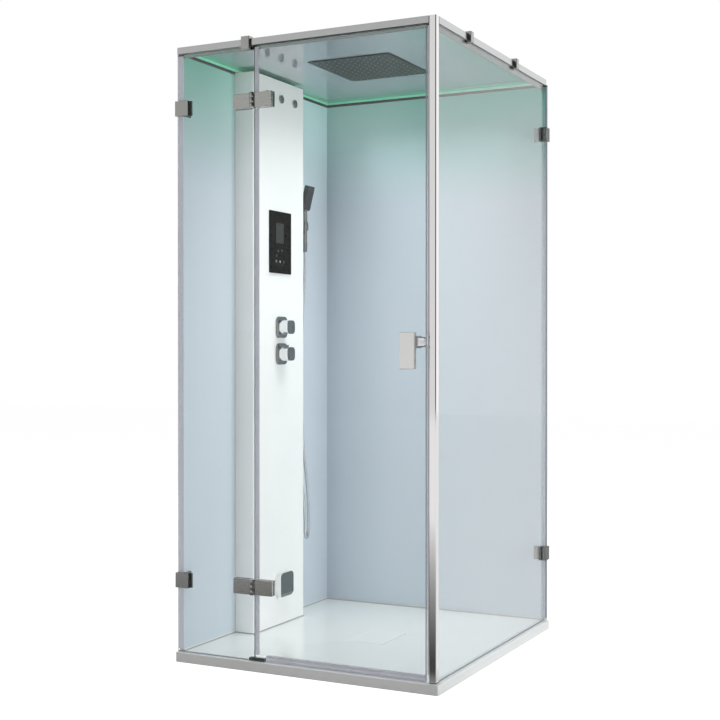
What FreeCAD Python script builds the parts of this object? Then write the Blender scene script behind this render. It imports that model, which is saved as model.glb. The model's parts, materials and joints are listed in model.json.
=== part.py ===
import FreeCAD, Part
import math
import os

# Steam shower cabin. Millimetres, +Z up, +X to the right along the front,
# +Y to the back. The origin is the middle of the tray's underside.

V = FreeCAD.Vector

# ---------------------------------------------------------------- driving sizes

cabin_width = 1000.0
cabin_depth = 1100.0
cabin_height = 2150.0
seat_gap = 0.3                  # between pieces that touch on the real cabin

tray_height = 34.0
tray_corner_radius = 6.0
wall_rim_height = 8.0
floor_fall = 4.5
floor_border = 6.0              # flat strip round the sloping floor

drain_x = 22.0
drain_y = -2.0
drain_cover_width = 136.0
drain_cover_length = 200.0
drain_cover_thickness = 4.0
drain_cover_play = 1.0
drain_cover_radius = 5.0
drain_ledge = 10.0
sump_depth = 15.5
waste_offset = 45.0             # waste behind the middle of the sump
waste_flange_radius = 40.0
waste_flange_thickness = 3.0
waste_tail_radius = 25.0
waste_tail_wall = 3.0
waste_tail_clearance = 1.5
waste_tail_lift = 1.0           # tail end over the tray's underside

wall_panel_thickness = 8.0
left_board_thickness = 12.0
back_board_thickness = 4.0
back_wall_end_inset = 9.0       # right end of the back wall, from the tray's edge
wall_front_setback = 4.0        # wall's front edge behind the front glass
right_trim_thickness = 2.0
wall_gasket_thickness = 6.5

frame_inset = 14.0              # tray's edge to the post's and rails' outer face
rail_height = 23.0
rail_width = 30.0
rail_wall = 2.5
rail_lip = 3.0                  # rail in front of the glass
glass_thickness = 8.0
glass_groove_depth = 12.0
glass_groove_play = 0.4
glass_in_groove = 11.0
roof_ledge_width = 8.0
roof_thickness = 4.0
roof_recess = 10.0              # roof's underside over the rails' underside
stop_lip_gap = 2.0              # glass to the strip behind it
stop_lip_thickness = 3.0
front_lip_drop = 14.0
right_lip_drop = 23.0
led_thickness = 3.7
led_height = 8.0

post_size = 25.0
post_wall = 1.5
post_corner_radius = 4.0
post_foot_thickness = 2.0
post_foot_margin = 0.5
post_foot_plug_height = 20.0
post_joint = 1.0                # right glass and seals behind the post

glass_foot_height = 3.0         # fixed glass over the tray's deck
foot_seal_margin = 1.0

fixed_panel_width = 313.0       # fixed front glass, from the tray's left edge
door_gap_left = 4.0
door_free_edge_gap = 12.0       # door glass to post
door_foot_height = 13.0         # door glass over the tray's deck
door_head_gap = 5.0
door_seal_clearance = 0.8
bottom_seal_height = 23.0
bottom_seal_thickness = 13.0
bottom_seal_start = 43.0        # from the door's left edge
hinge_seal_width = 3.3
magnet_seal_width = 6.3
magnet_seal_thickness = 11.0
magnet_strip_width = 3.8
magnet_strip_thickness = 10.0
vertical_seal_end_gap = 3.0

hinge_axis_offset = 1.0         # hinge axis left of the fixed glass's edge
hinge_axis_front = 20.0         # hinge axis in front of the glass's inner face
hinge_reach = 76.0
hinge_height = 52.0
hinge_barrel_radius = 8.0
hinge_barrel_room = 1.5
hinge_pin_radius = 3.0
hinge_pin_clearance = 0.05
hinge_pin_head = 1.0
hinge_knuckle_gap = 0.4
hinge_web_thickness = 6.0
hinge_below_rail = 189.0
hinge_lower_z = 286.0
hinge_edge_radius = 1.5
inner_plate_thickness = 6.2

clamp_height = 52.0
clamp_leg = 38.0
clamp_plate_thickness = 6.4
clamp_wall_overhang = 7.0
clamp_reach_left = 27.0
clamp_reach_right = 24.0
clamp_left_below_rail = 191.0
clamp_lower_z_left = 285.0
clamp_right_below_rail = 194.0
clamp_lower_z_right = 298.0
clamp_pad_thickness = 0.9
clamp_pad_play = 0.2

screw_radius = 2.5
screw_head_radius = 4.5
screw_head_height = 3.0
screw_clearance = 0.15
screw_engagement = 4.0
glass_hole_radius = 6.0

clip_proud = 10.0
clip_top_rise = 8.0
clip_cover = 20.0
front_clip_length = 32.0
front_clip_foot_drop = 14.0
front_clip_offset = 29.0        # clip's middle left of the fixed glass's edge
right_clip_length = 25.0
right_clip_foot_drop = 5.0
right_clip_y = (-252.0, 194.0)

floor_clamp_grip = 19.0         # over the fixed glass
floor_clamp_reach = 41.0        # past the fixed glass, under the door
floor_clamp_height = 11.0
floor_clamp_margin = 4.0
floor_clamp_play = 0.4

handle_plate_width = 53.0
handle_plate_height = 117.0
handle_plate_thickness = 14.0
handle_plate_shift = 16.5       # plate's middle left of the stand-off
handle_plate_drop = 27.5        # plate's middle under the stand-off
handle_plate_radius = 2.0
handle_projection = 60.0        # plate's front in front of the glass
handle_post_radius = 20.0
handle_post_inset = 22.0        # stand-off's middle from the door's free edge
handle_post_z = 1117.0
inner_knob_radius = 17.0
inner_knob_length = 25.0
handle_bolt_radius = 4.0
handle_bolt_engagement = 16.0

rain_head_width = 325.0
rain_head_length = 360.0
rain_head_x = -7.0
rain_head_y = -8.0
rain_plate_thickness = 2.0
rain_plate_drop = 3.0           # plate's face under the roof's underside
rain_body_margin = 10.0
rain_body_height = 9.0
rain_body_wall = 2.0
rain_rows = 11
rain_columns = 12
rain_nozzle_radius = 2.2
rain_nozzle_hole_play = 0.3
rain_nozzle_proud = 1.5
rain_mat_thickness = 1.5
rain_edge_margin = 24.0
rain_boss_size = 24.0
rain_boss_wall = 1.5

column_depth = 80.0
column_left = -188.0            # side nearer to the door
column_right = 190.0
column_wall = 3.0
column_edge_radius = 3.0
back_plate_thickness = 2.0
back_plate_play = 0.5

panel_width = 162.0
panel_height = 237.0
panel_y = 4.0
panel_z = 1505.0
panel_thickness = 4.0
panel_corner_radius = 3.0
display_width = 57.0
display_height = 77.0
display_y = -1.5
display_z = 1540.5
display_thickness = 0.6
display_play = 0.15
control_box_width = 150.0
control_box_height = 220.0
control_box_depth = 36.0
control_neck_margin = 10.0
control_neck_play = 1.0

jets_below_rail = 70.0
jet_middle_y = 14.0
jet_spacing = 104.0
jet_flange_radius = 16.0
jet_flange_thickness = 5.2
jet_ball_radius = 10.0
jet_ball_clearance = 0.2
jet_ball_sunk = 2.0             # ball's centre behind the column's face
jet_ball_front = 8.5            # flat of the ball in front of its centre
jet_tail_radius = 12.5
jet_tail_length = 25.0
jet_tail_bore = 7.5
jet_spray_radius = 3.5
shell_hole_play = 1.0

mixer_y = 12.0
diverter_z = 1180.0
temperature_z = 1077.5
escutcheon_width = 78.0
escutcheon_height = 82.0
escutcheon_radius = 20.0
escutcheon_thickness = 8.0
escutcheon_edge = 3.0
knob_width = 61.0
knob_height = 53.0
knob_radius = 17.0
knob_length = 38.0
knob_edge = 2.5
stem_radius = 12.0
stem_play = 2.0
stop_button_radius = 6.0
stop_button_play = 0.2
stop_button_proud = 8.0
stop_button_travel = 2.0
stop_button_length = 15.0
stop_button_setback = 17.5      # from the knob's end face

valve_left = -90.0
valve_right = 115.0
valve_bottom = 1040.0
valve_top = 1220.0
valve_front_gap = 18.5          # valve's front behind the column's inner face
inlet_z = 1130.0
inlet_middle_y = 12.0
inlet_spacing = 150.0
inlet_radius = 10.48            # G 1/2 male thread
inlet_pipe_radius = 9.5
inlet_bore = 7.5
inlet_length = 13.0
inlet_hole_play = 1.5

steam_y = 22.5
steam_z = 189.5
steam_hood_width = 97.0
steam_hood_height = 93.0
steam_hood_depth = 19.0
steam_hood_radius = 18.0
steam_hood_wall = 3.0
steam_slope_height = 12.0
steam_slope_depth = 4.0
steam_base_margin = 4.5
steam_base_thickness = 3.0
steam_slot_width = 44.0
generator_left = -140.0
generator_right = 140.0
generator_bottom = 330.0
generator_top = 640.0
generator_depth = 60.0
generator_radius = 8.0
gland_y = -100.0
gland_z = 590.0
gland_radius = 11.0
gland_thread_radius = 8.0
gland_bore = 4.0
gland_length = 12.0

pipe_radius = 6.0
pipe_bore = 4.5
pipe_bend = 24.0
pipe_set_back = 55.0            # riser's axis behind the column's face
manifold_radius = 8.0

outlet_z = 720.0
outlet_x_back = 40.0            # outlet's axis behind the column's face
outlet_reach = 32.0
outlet_rosette_radius = 24.0
outlet_rosette_thickness = 8.0
outlet_radius = 10.0
outlet_drop = 20.0
outlet_nut_length = 28.0
outlet_nut_radius = 11.5
outlet_nut_end_radius = 8.5

hand_behind_face = 21.5         # handle's middle behind the column's face
hand_from_column = 50.0         # handle's middle from the column's side
handle_bottom_z = 1523.0
handle_top_z = 1655.0
handle_bottom_radius = 9.0
handle_top_radius = 10.0
collar_radius = 13.5
collar_height = 6.0
collar_z = 1600.0
head_length = 98.0
head_width = 56.0
head_thickness = 15.0
head_radius = 7.0
head_tilt = 14.0
nozzle_plate_margin = 5.0
nozzle_plate_thickness = 2.0
nozzle_plate_sunk = 1.5
nozzle_plate_play = 0.2
spray_rows = 7
spray_columns = 4
spray_hole_radius = 1.2
spray_edge_margin = 9.0
nut_length = 36.0
nut_top_radius = 10.5
nut_bottom_radius = 8.5
holder_ring_wall = 4.0
holder_ring_play = 0.4
holder_ring_height = 26.0
holder_slot = 14.0
holder_base_width = 34.0
holder_base_height = 50.0
holder_base_thickness = 7.0
holder_arm_width = 14.0

hose_diameter = 12.0
# Points of the hand shower's hose, from the nut down and round to the outlet.
hose_points = [
    (-421.5, 240.0, 1486.7),
    (-421.5, 240.0, 1400.0),
    (-432.0, 242.0, 1270.0),
    (-441.0, 246.0, 1110.0),
    (-445.0, 251.0, 940.0),
    (-446.0, 259.0, 790.0),
    (-445.0, 273.0, 660.0),
    (-441.0, 292.0, 550.0),
    (-443.0, 308.0, 450.0),
    (-447.0, 317.0, 355.0),
    (-430.5, 272.0, 327.0),
    (-414.0, 227.0, 350.0),
    (-414.0, 225.5, 440.0),
    (-424.0, 223.5, 545.0),
    (-440.0, 222.0, 625.0),
    (-440.0, 222.0, 672.0),
]

# --------------------------------------------------------------- derived places

left = -cabin_width / 2
right = cabin_width / 2
front = -cabin_depth / 2
back = cabin_depth / 2

deck_z = tray_height
rim_z = deck_z + wall_rim_height
rail_z = cabin_height - rail_height
roof_z = rail_z + roof_recess

frame_front = front + frame_inset
frame_right = right - frame_inset
glass_front_out = frame_front + rail_lip
glass_front_in = glass_front_out + glass_thickness
glass_right_out = frame_right - rail_lip
glass_right_in = glass_right_out - glass_thickness

left_wall_in = left + left_board_thickness + wall_panel_thickness
back_wall_in = back - back_board_thickness - wall_panel_thickness
back_wall_right = right - back_wall_end_inset
wall_front = glass_front_in + wall_front_setback
wall_bottom = rim_z + seat_gap
wall_top = rail_z - seat_gap - wall_gasket_thickness

post_left = frame_right - post_size
post_back = frame_front + post_size

fixed_glass_bottom = deck_z + glass_foot_height
fixed_glass_top = rail_z + glass_in_groove
fixed_glass_edge = left + fixed_panel_width
right_glass_front = post_back + post_joint
floor_clamp_left = fixed_glass_edge - floor_clamp_grip
floor_clamp_right = fixed_glass_edge + floor_clamp_reach
front_clip_x = fixed_glass_edge - front_clip_offset

door_left = fixed_glass_edge + door_gap_left
door_right = post_left - door_free_edge_gap
door_bottom = deck_z + door_foot_height
door_top = rail_z - door_head_gap
handle_post_x = door_right - handle_post_inset
handle_plate_x = handle_post_x - handle_plate_shift
handle_plate_z = handle_post_z - handle_plate_drop

column_back = left_wall_in + seat_gap
column_face = left_wall_in + column_depth
column_bottom = deck_z + seat_gap
column_top = rail_z - seat_gap
column_inner_face = column_face - column_wall
back_plate_front = column_back + seat_gap + back_plate_thickness
seat_on_back_plate = back_plate_front + seat_gap
on_column = column_face + seat_gap
valve_front = column_inner_face - valve_front_gap

hinge_axis_x = fixed_glass_edge - hinge_axis_offset
hinge_heights = (hinge_lower_z, rail_z - hinge_below_rail)
hinge_plate_edge = hinge_barrel_radius + hinge_barrel_room
hinge_screw_offsets = (hinge_plate_edge + 14.0, hinge_reach - 14.0)

hand_x = column_face - hand_behind_face
hand_y = column_right + hand_from_column
jet_z = rail_z - jets_below_rail
jet_places = [jet_middle_y + jet_spacing * step for step in (-1, 0, 1)]
jet_ball_x = column_face - jet_ball_sunk

# ---------------------------------------------------------------- basic shapes


def box(x0, x1, y0, y1, z0, z1):
    return Part.makeBox(x1 - x0, y1 - y0, z1 - z0, V(x0, y0, z0))


def rod(start, direction, radius, length):
    return Part.makeCylinder(radius, length, V(*start), V(*direction))


def prism(points, direction):
    """A closed polygon pushed along a direction."""
    corners = [V(*point) for point in points]
    wire = Part.makePolygon(corners + [corners[0]])
    return Part.Face(wire).extrude(V(*direction))


def round_edges(solid, radius, chosen):
    """Round the straight or curved edges for which chosen(edge) is true."""
    edges = [edge for edge in solid.Edges if chosen(edge)]
    return solid.makeFillet(radius, edges)


def edge_runs_along(axis):
    def test(edge):
        if edge.Curve.TypeId != "Part::GeomLine":
            return False
        direction = edge.tangentAt(edge.FirstParameter)
        return abs(getattr(direction, axis)) > 0.99
    return test


def edge_lies_at(axis, value):
    def test(edge):
        box_of_edge = edge.BoundBox
        low = getattr(box_of_edge, axis.upper() + "Min")
        high = getattr(box_of_edge, axis.upper() + "Max")
        return abs(low - value) < 1e-4 and abs(high - value) < 1e-4
    return test


def rounded_tile(x0, x1, y, z, width, height, radius):
    """A plate on the column's face, with its corners rounded."""
    tile = box(x0, x1, y - width / 2, y + width / 2, z - height / 2, z + height / 2)
    return round_edges(tile, radius, edge_runs_along("x"))


def group(solids):
    return Part.makeCompound(list(solids))


def fuse_all(solids):
    result = solids[0]
    for solid in solids[1:]:
        result = result.fuse(solid)
    return result.removeSplitter()


def cut_all(solid, tools):
    return solid.cut(Part.makeCompound(list(tools)))


# A place on a glass side is u along the glass, v into the cabin from the inner
# face of the glass, and z. The front's u is X and the right side's u is Y.

def on_glass(side, u, v):
    if side == "front":
        return u, glass_front_in + v
    return glass_right_in - v, u


def glass_box(side, u0, u1, v0, v1, z0, z1):
    xa, ya = on_glass(side, u0, v0)
    xb, yb = on_glass(side, u1, v1)
    return box(min(xa, xb), max(xa, xb), min(ya, yb), max(ya, yb), z0, z1)


def glass_rod(side, u, z, v0, v1, radius):
    x, y = on_glass(side, u, v0)
    inward = (0, 1, 0) if side == "front" else (-1, 0, 0)
    return rod((x, y, z), inward, radius, v1 - v0)


def glass_prism(side, outline, z0, z1):
    points = [on_glass(side, u, v) + (z0,) for u, v in outline]
    return prism(points, (0, 0, z1 - z0))


def clamp_screw(side, u, z, plate_v, outer_v):
    """A screw from the inner plate's face at plate_v into the outer plate."""
    head = glass_rod(side, u, z, plate_v - screw_head_height, plate_v, screw_head_radius)
    shank_end = outer_v - screw_engagement
    shank = glass_rod(side, u, z, shank_end, plate_v - screw_head_height, screw_radius)
    return head.fuse(shank).removeSplitter()


def clamp_screw_room(side, u, z, plate_v, outer_v):
    """The hole for clamp_screw in the plates and pads, with its clearance."""
    head_bottom = plate_v - screw_head_height - screw_clearance
    head = glass_rod(side, u, z, head_bottom, plate_v + 1, screw_head_radius + screw_clearance)
    shank_end = outer_v - screw_engagement - seat_gap
    shank = glass_rod(side, u, z, shank_end, head_bottom, screw_radius + screw_clearance)
    return head.fuse(shank)


def glass_hole(side, u, z, radius=glass_hole_radius):
    return glass_rod(side, u, z, -glass_thickness - 1, 1, radius)


# ------------------------------------------------------------- tubes with bends


def routed_path(points, bend_radii):
    """Straight runs joined by tangent arcs, one radius for each inner point."""
    corners = [V(*point) for point in points]
    edges = []
    start = corners[0]
    for index in range(1, len(corners) - 1):
        corner = corners[index]
        into = (corner - corners[index - 1]).normalize()
        out = (corners[index + 1] - corner).normalize()
        half_turn = into.getAngle(out) / 2
        radius = bend_radii[index - 1]
        cut_back = radius * math.tan(half_turn)
        arc_start = corner - into * cut_back
        arc_end = corner + out * cut_back
        middle = (out - into).normalize()
        centre = corner + middle * (radius / math.cos(half_turn))
        arc_middle = centre - middle * radius
        edges.append(Part.LineSegment(start, arc_start).toShape())
        edges.append(Part.Arc(arc_start, arc_middle, arc_end).toShape())
        start = arc_end
    edges.append(Part.LineSegment(start, corners[-1]).toShape())
    return Part.Wire(edges)


def largest_radii(points):
    """0.45 of the shorter run over the tangent of half the turn, at each point."""
    corners = [V(*point) for point in points]
    radii = []
    for index in range(1, len(corners) - 1):
        into = corners[index] - corners[index - 1]
        out = corners[index + 1] - corners[index]
        shorter = min(into.Length, out.Length)
        radii.append(0.45 * shorter / math.tan(into.getAngle(out) / 2))
    return radii


def sweep(path, radius):
    start_edge = path.OrderedEdges[0]
    start = start_edge.valueAt(start_edge.FirstParameter)
    direction = start_edge.tangentAt(start_edge.FirstParameter)
    circle = Part.Wire(Part.makeCircle(radius, start, direction))
    return path.makePipeShell([circle], True, False)


def bent_pipe(points, radius, bore):
    path = routed_path(points, [pipe_bend] * (len(points) - 2))
    return sweep(path, radius).cut(sweep(path, bore))


# ------------------------------------------------------------------------ tray


def fall_outline(x0, x1, y0, y1, z):
    return Part.makePolygon([V(x0, y0, z), V(x1, y0, z), V(x1, y1, z), V(x0, y1, z), V(x0, y0, z)])


def make_tray():
    slab = box(left, right, front, back, 0, deck_z)
    left_rim = box(left, left_wall_in, wall_front, back, deck_z, rim_z)
    back_rim = box(left_wall_in, back_wall_right, back_wall_in, back, deck_z, rim_z)
    outline = box(left, right, front, back, 0, rim_z)
    outline = round_edges(outline, tray_corner_radius, edge_runs_along("z"))
    tray = fuse_all([slab, left_rim, back_rim]).common(outline)

    half_width = drain_cover_width / 2 + drain_cover_play
    half_length = drain_cover_length / 2 + drain_cover_play
    drain_edge = (drain_x - half_width, drain_x + half_width,
                  drain_y - half_length, drain_y + half_length)
    fall_top = fall_outline(column_face + floor_border, glass_right_in - floor_border,
                            glass_front_in + floor_border, back_wall_in - floor_border, deck_z)
    fall_bottom = fall_outline(*drain_edge, drain_rim_z)
    fall = Part.makeLoft([fall_top, fall_bottom], True, True)
    cover_seat = box(*drain_edge, cover_bottom_z - seat_gap, deck_z)
    sump = box(drain_edge[0] + drain_ledge, drain_edge[1] - drain_ledge,
               drain_edge[2] + drain_ledge, drain_edge[3] - drain_ledge, sump_z, deck_z)
    tail_hole = rod((drain_x, waste_y, -1), (0, 0, 1),
                    waste_tail_radius + waste_tail_clearance, sump_z + 2)
    return cut_all(tray, [fall, cover_seat]).cut(sump).cut(tail_hole)


def make_waste_flange():
    flange_bottom = sump_z + seat_gap
    flange = rod((drain_x, waste_y, flange_bottom), (0, 0, 1),
                 waste_flange_radius, waste_flange_thickness)
    tail = rod((drain_x, waste_y, waste_tail_lift), (0, 0, 1),
               waste_tail_radius, flange_bottom - waste_tail_lift)
    bore = rod((drain_x, waste_y, 0), (0, 0, 1), waste_tail_radius - waste_tail_wall, deck_z)
    return flange.fuse(tail).cut(bore).removeSplitter()


def make_drain_cover():
    cover = box(drain_x - drain_cover_width / 2, drain_x + drain_cover_width / 2,
                drain_y - drain_cover_length / 2, drain_y + drain_cover_length / 2,
                cover_bottom_z, drain_rim_z)
    return round_edges(cover, drain_cover_radius, edge_runs_along("z"))


waste_y = drain_y + waste_offset
drain_rim_z = deck_z - floor_fall
cover_bottom_z = drain_rim_z - drain_cover_thickness
sump_z = drain_rim_z - sump_depth

# ----------------------------------------------------------------------- walls


def service_holes(x0, x1, play):
    """Holes through the left wall for the two inlets and the cable gland."""
    holes = []
    for side in (-1, 1):
        y = inlet_middle_y + side * inlet_spacing / 2
        holes.append(rod((x0, y, inlet_z), (1, 0, 0), inlet_radius + play, x1 - x0))
    holes.append(rod((x0, gland_y, gland_z), (1, 0, 0), gland_thread_radius + play, x1 - x0))
    return holes


def make_left_wall_panel():
    panel = box(left_wall_in - wall_panel_thickness, left_wall_in,
                wall_front, back_wall_in - seat_gap, wall_bottom, wall_top)
    return cut_all(panel, service_holes(left - 1, left_wall_in + 1, inlet_hole_play))


def make_back_wall_panel():
    return box(left_wall_in - wall_panel_thickness, back_wall_right - right_trim_thickness - seat_gap,
               back_wall_in, back_wall_in + wall_panel_thickness, wall_bottom, wall_top)


def make_wall_boards():
    panel_back = left_wall_in - wall_panel_thickness
    left_board = box(left, panel_back - seat_gap, wall_front, back, wall_bottom, wall_top)
    left_board = cut_all(left_board, service_holes(left - 1, left_wall_in + 1, inlet_hole_play))
    back_board = box(panel_back, back_wall_right - right_trim_thickness - seat_gap,
                     back_wall_in + wall_panel_thickness + seat_gap, back, wall_bottom, wall_top)
    return group([left_board, back_board])


def make_wall_edge_trims():
    front_trim = box(left, left_wall_in, glass_front_in + seat_gap, wall_front - seat_gap,
                     wall_bottom, wall_top)
    right_trim = box(back_wall_right - right_trim_thickness, back_wall_right,
                     back_wall_in, back, wall_bottom, wall_top)
    return group([front_trim, right_trim])


def make_wall_gaskets():
    bottom = wall_top + seat_gap / 2
    top = rail_z - seat_gap / 2
    left_gasket = box(left, left_wall_in, glass_front_in + seat_gap, back, bottom, top)
    back_gasket = box(left_wall_in + seat_gap, back_wall_right, back_wall_in, back, bottom, top)
    return [left_gasket, back_gasket]


# ------------------------------------------------------------ post, rails, roof


def make_corner_post():
    post = box(post_left, frame_right, frame_front, post_back,
               deck_z + seat_gap + post_foot_thickness + seat_gap, cabin_height)
    post = round_edges(post, post_corner_radius, edge_runs_along("z"))
    inside = box(post_left + post_wall, frame_right - post_wall,
                 frame_front + post_wall, post_back - post_wall, 0, cabin_height - post_wall)
    inside = round_edges(inside, post_corner_radius - post_wall, edge_runs_along("z"))
    return post.cut(inside)


def make_corner_post_foot():
    bottom = deck_z + seat_gap
    plate = box(post_left - post_foot_margin, frame_right + post_foot_margin,
                frame_front - post_foot_margin, post_back + post_foot_margin,
                bottom, bottom + post_foot_thickness)
    plate = round_edges(plate, post_corner_radius + post_foot_margin, edge_runs_along("z"))
    inset = post_wall + seat_gap
    plug = box(post_left + inset, frame_right - inset, frame_front + inset, post_back - inset,
               bottom, bottom + post_foot_plug_height)
    plug = round_edges(plug, post_corner_radius - inset, edge_runs_along("z"))
    return plate.fuse(plug).removeSplitter()


def rail_section():
    """Outline of a rail: w from the outer face into the cabin, and z."""
    ledge_top = roof_z - seat_gap
    step = rail_width - roof_ledge_width
    return [(0, rail_z), (0, cabin_height), (step, cabin_height), (step, ledge_top),
            (rail_width, ledge_top), (rail_width, rail_z)]


def lip_section(drop):
    """The strip behind the glass, which hangs from a rail."""
    near = rail_lip + glass_thickness + stop_lip_gap
    far = near + stop_lip_thickness
    return [(near, rail_z + 1), (far, rail_z + 1), (far, rail_z - drop), (near, rail_z - drop)]


def rail_hollow():
    step = rail_width - roof_ledge_width
    hollow_left = rail_lip + glass_thickness + rail_wall
    return [(hollow_left, rail_z + rail_wall), (hollow_left, cabin_height - rail_wall),
            (step - rail_wall, cabin_height - rail_wall), (step - rail_wall, rail_z + rail_wall)]


def rail_groove():
    groove_left = rail_lip - glass_groove_play
    groove_right = rail_lip + glass_thickness + glass_groove_play
    bottom = rail_z - 1
    top = rail_z + glass_groove_depth
    return [(groove_left, bottom), (groove_left, top), (groove_right, top), (groove_right, bottom)]


def rail_along(axis, outer, inward, start, end, outline):
    """A section pushed along X or Y; outer is its outer face, inward is +1 or -1."""
    if axis == "x":
        points = [(start, outer + inward * w, z) for w, z in outline]
        return prism(points, (end - start, 0, 0))
    points = [(outer + inward * w, start, z) for w, z in outline]
    return prism(points, (0, end - start, 0))


def make_rail(axis, outer, inward, start, end):
    rail = rail_along(axis, outer, inward, start, end, rail_section())
    return rail.cut(rail_along(axis, outer, inward, start - 1, end + 1, rail_hollow()))


def make_glazed_rail(axis, outer, inward, start, end, lip_drop, lip_start, lip_end):
    rail = make_rail(axis, outer, inward, start, end)
    rail = rail.cut(rail_along(axis, outer, inward, start - 1, end + 1, rail_groove()))
    lip = rail_along(axis, outer, inward, lip_start, lip_end, lip_section(lip_drop))
    return rail.fuse(lip).removeSplitter()


def make_top_rails():
    front_end = post_left - seat_gap
    right_start = post_back + seat_gap
    front_rail = make_glazed_rail("x", frame_front, 1, left, front_end, front_lip_drop,
                                  left_wall_in + seat_gap, front_end)
    corner = box(frame_right - rail_width - seat_gap, right, right_start - seat_gap, back,
                 deck_z, cabin_height + 1)
    front_rail = front_rail.cut(corner)
    right_rail = make_glazed_rail("y", frame_right, -1, right_start, back, right_lip_drop,
                                  right_start, back_wall_in - seat_gap)
    left_rail = make_rail("y", left, 1, frame_front + rail_width + seat_gap, back)
    back_rail = make_rail("x", back, -1, left + rail_width + seat_gap,
                          frame_right - rail_width - seat_gap)
    return group([front_rail, right_rail, left_rail, back_rail])


def make_roof_panel():
    step = rail_width - roof_ledge_width + seat_gap
    roof = box(left + step, frame_right - step, frame_front + step, back - step,
               roof_z, roof_z + roof_thickness)
    post_notch = box(post_left - seat_gap, right, front, post_back + seat_gap, 0, cabin_height)
    head_opening = rain_rectangle(rain_body_margin - seat_gap, 0, cabin_height)
    return cut_all(roof, [post_notch, head_opening, bend_slot()])


def bend_slot():
    """A slot in the roof with round ends, as long as the pipe's bend needs."""
    radius = pipe_radius + shell_hole_play
    low = roof_z - 1
    height = roof_thickness + 2
    near = rod((riser_x, rain_head_y, low), (0, 0, 1), radius, height)
    far = rod((riser_x + pipe_bend / 2, rain_head_y, low), (0, 0, 1), radius, height)
    between = box(riser_x, riser_x + pipe_bend / 2, rain_head_y - radius, rain_head_y + radius,
                  low, low + height)
    return fuse_all([near, between, far])


def make_led_strips():
    bottom = rail_z + 1.0
    top = bottom + led_height
    inner = rail_width + seat_gap
    outer_x0 = left + inner
    outer_x1 = frame_right - inner
    outer_y0 = frame_front + inner
    outer_y1 = back - inner
    left_strip = box(outer_x0, outer_x0 + led_thickness, outer_y0, outer_y1, bottom, top)
    right_strip = box(outer_x1 - led_thickness, outer_x1, outer_y0, outer_y1, bottom, top)
    inset = led_thickness + seat_gap
    front_strip = box(outer_x0 + inset, outer_x1 - inset, outer_y0, outer_y0 + led_thickness,
                      bottom, top)
    back_strip = box(outer_x0 + inset, outer_x1 - inset, outer_y1 - led_thickness, outer_y1,
                     bottom, top)
    return group([front_strip, right_strip, left_strip, back_strip])


# ------------------------------------------------------------------- rain head


def rain_rectangle(margin, z0, z1):
    half_width = rain_head_width / 2 - margin
    half_length = rain_head_length / 2 - margin
    return box(rain_head_x - half_width, rain_head_x + half_width,
               rain_head_y - half_length, rain_head_y + half_length, z0, z1)


def rain_nozzle_places():
    span_x = rain_head_width - 2 * rain_edge_margin
    span_y = rain_head_length - 2 * rain_edge_margin
    for column in range(rain_columns):
        x = rain_head_x - span_x / 2 + span_x * column / (rain_columns - 1)
        for row in range(rain_rows):
            y = rain_head_y - span_y / 2 + span_y * row / (rain_rows - 1)
            yield x, y


def make_rain_head_plate():
    plate = rain_rectangle(0, rain_plate_z, rain_plate_z + rain_plate_thickness)
    hole = rain_nozzle_radius + rain_nozzle_hole_play
    return cut_all(plate, [rod((x, y, rain_plate_z - 1), (0, 0, 1), hole, rain_plate_thickness + 2)
                           for x, y in rain_nozzle_places()])


def make_rain_nozzle_mat():
    bottom = rain_body_bottom
    mat = rain_rectangle(rain_body_margin + rain_body_wall + seat_gap, bottom,
                         bottom + rain_mat_thickness)
    tip = rain_plate_z - rain_nozzle_proud
    teats = [rod((x, y, tip), (0, 0, 1), rain_nozzle_radius, bottom - tip + rain_mat_thickness / 2)
             for x, y in rain_nozzle_places()]
    return mat.multiFuse(teats).removeSplitter()


def make_rain_head_body():
    bottom = rain_body_bottom
    top = rain_body_top
    body = rain_rectangle(rain_body_margin, bottom, top)
    inside = rain_rectangle(rain_body_margin + rain_body_wall, bottom - 1, top - rain_body_wall)
    half = rain_boss_size / 2
    boss = box(rain_head_x - half, rain_head_x + half, rain_head_y - half, rain_head_y + half,
               top - rain_body_wall, overhead_pipe_z + pipe_radius + rain_boss_wall)
    water_way = rod((rain_head_x, rain_head_y, bottom), (0, 0, 1), pipe_bore,
                    overhead_pipe_z - bottom)
    side_way = rod((rain_head_x - half - 1, rain_head_y, overhead_pipe_z), (1, 0, 0), pipe_bore,
                   half + 1)
    return body.cut(inside).fuse(boss).cut(water_way).cut(side_way).removeSplitter()


rain_plate_z = roof_z - rain_plate_drop
riser_x = column_face - pipe_set_back
rain_body_bottom = rain_plate_z + rain_plate_thickness + seat_gap
rain_body_top = rain_body_bottom + rain_body_height
overhead_pipe_z = rain_body_top + seat_gap + pipe_radius

# ----------------------------------------------------------- fixed glass, seals


def make_front_fixed_glass():
    pane = box(left, fixed_glass_edge, glass_front_out, glass_front_in,
               fixed_glass_bottom, fixed_glass_top)
    holes = [glass_hole("front", hinge_axis_x - offset, z)
             for offset in hinge_screw_offsets for z in hinge_heights]
    holes += [glass_hole("front", clamp_screw_u(clamp), clamp["z"])
              for clamp in wall_clamps if clamp["side"] == "front"]
    return cut_all(pane, holes)


def make_right_fixed_glass():
    pane = box(glass_right_in, glass_right_out, right_glass_front, back_wall_in - seat_gap,
               fixed_glass_bottom, fixed_glass_top)
    return cut_all(pane, [glass_hole("right", clamp_screw_u(clamp), clamp["z"])
                          for clamp in wall_clamps if clamp["side"] == "right"])


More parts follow.
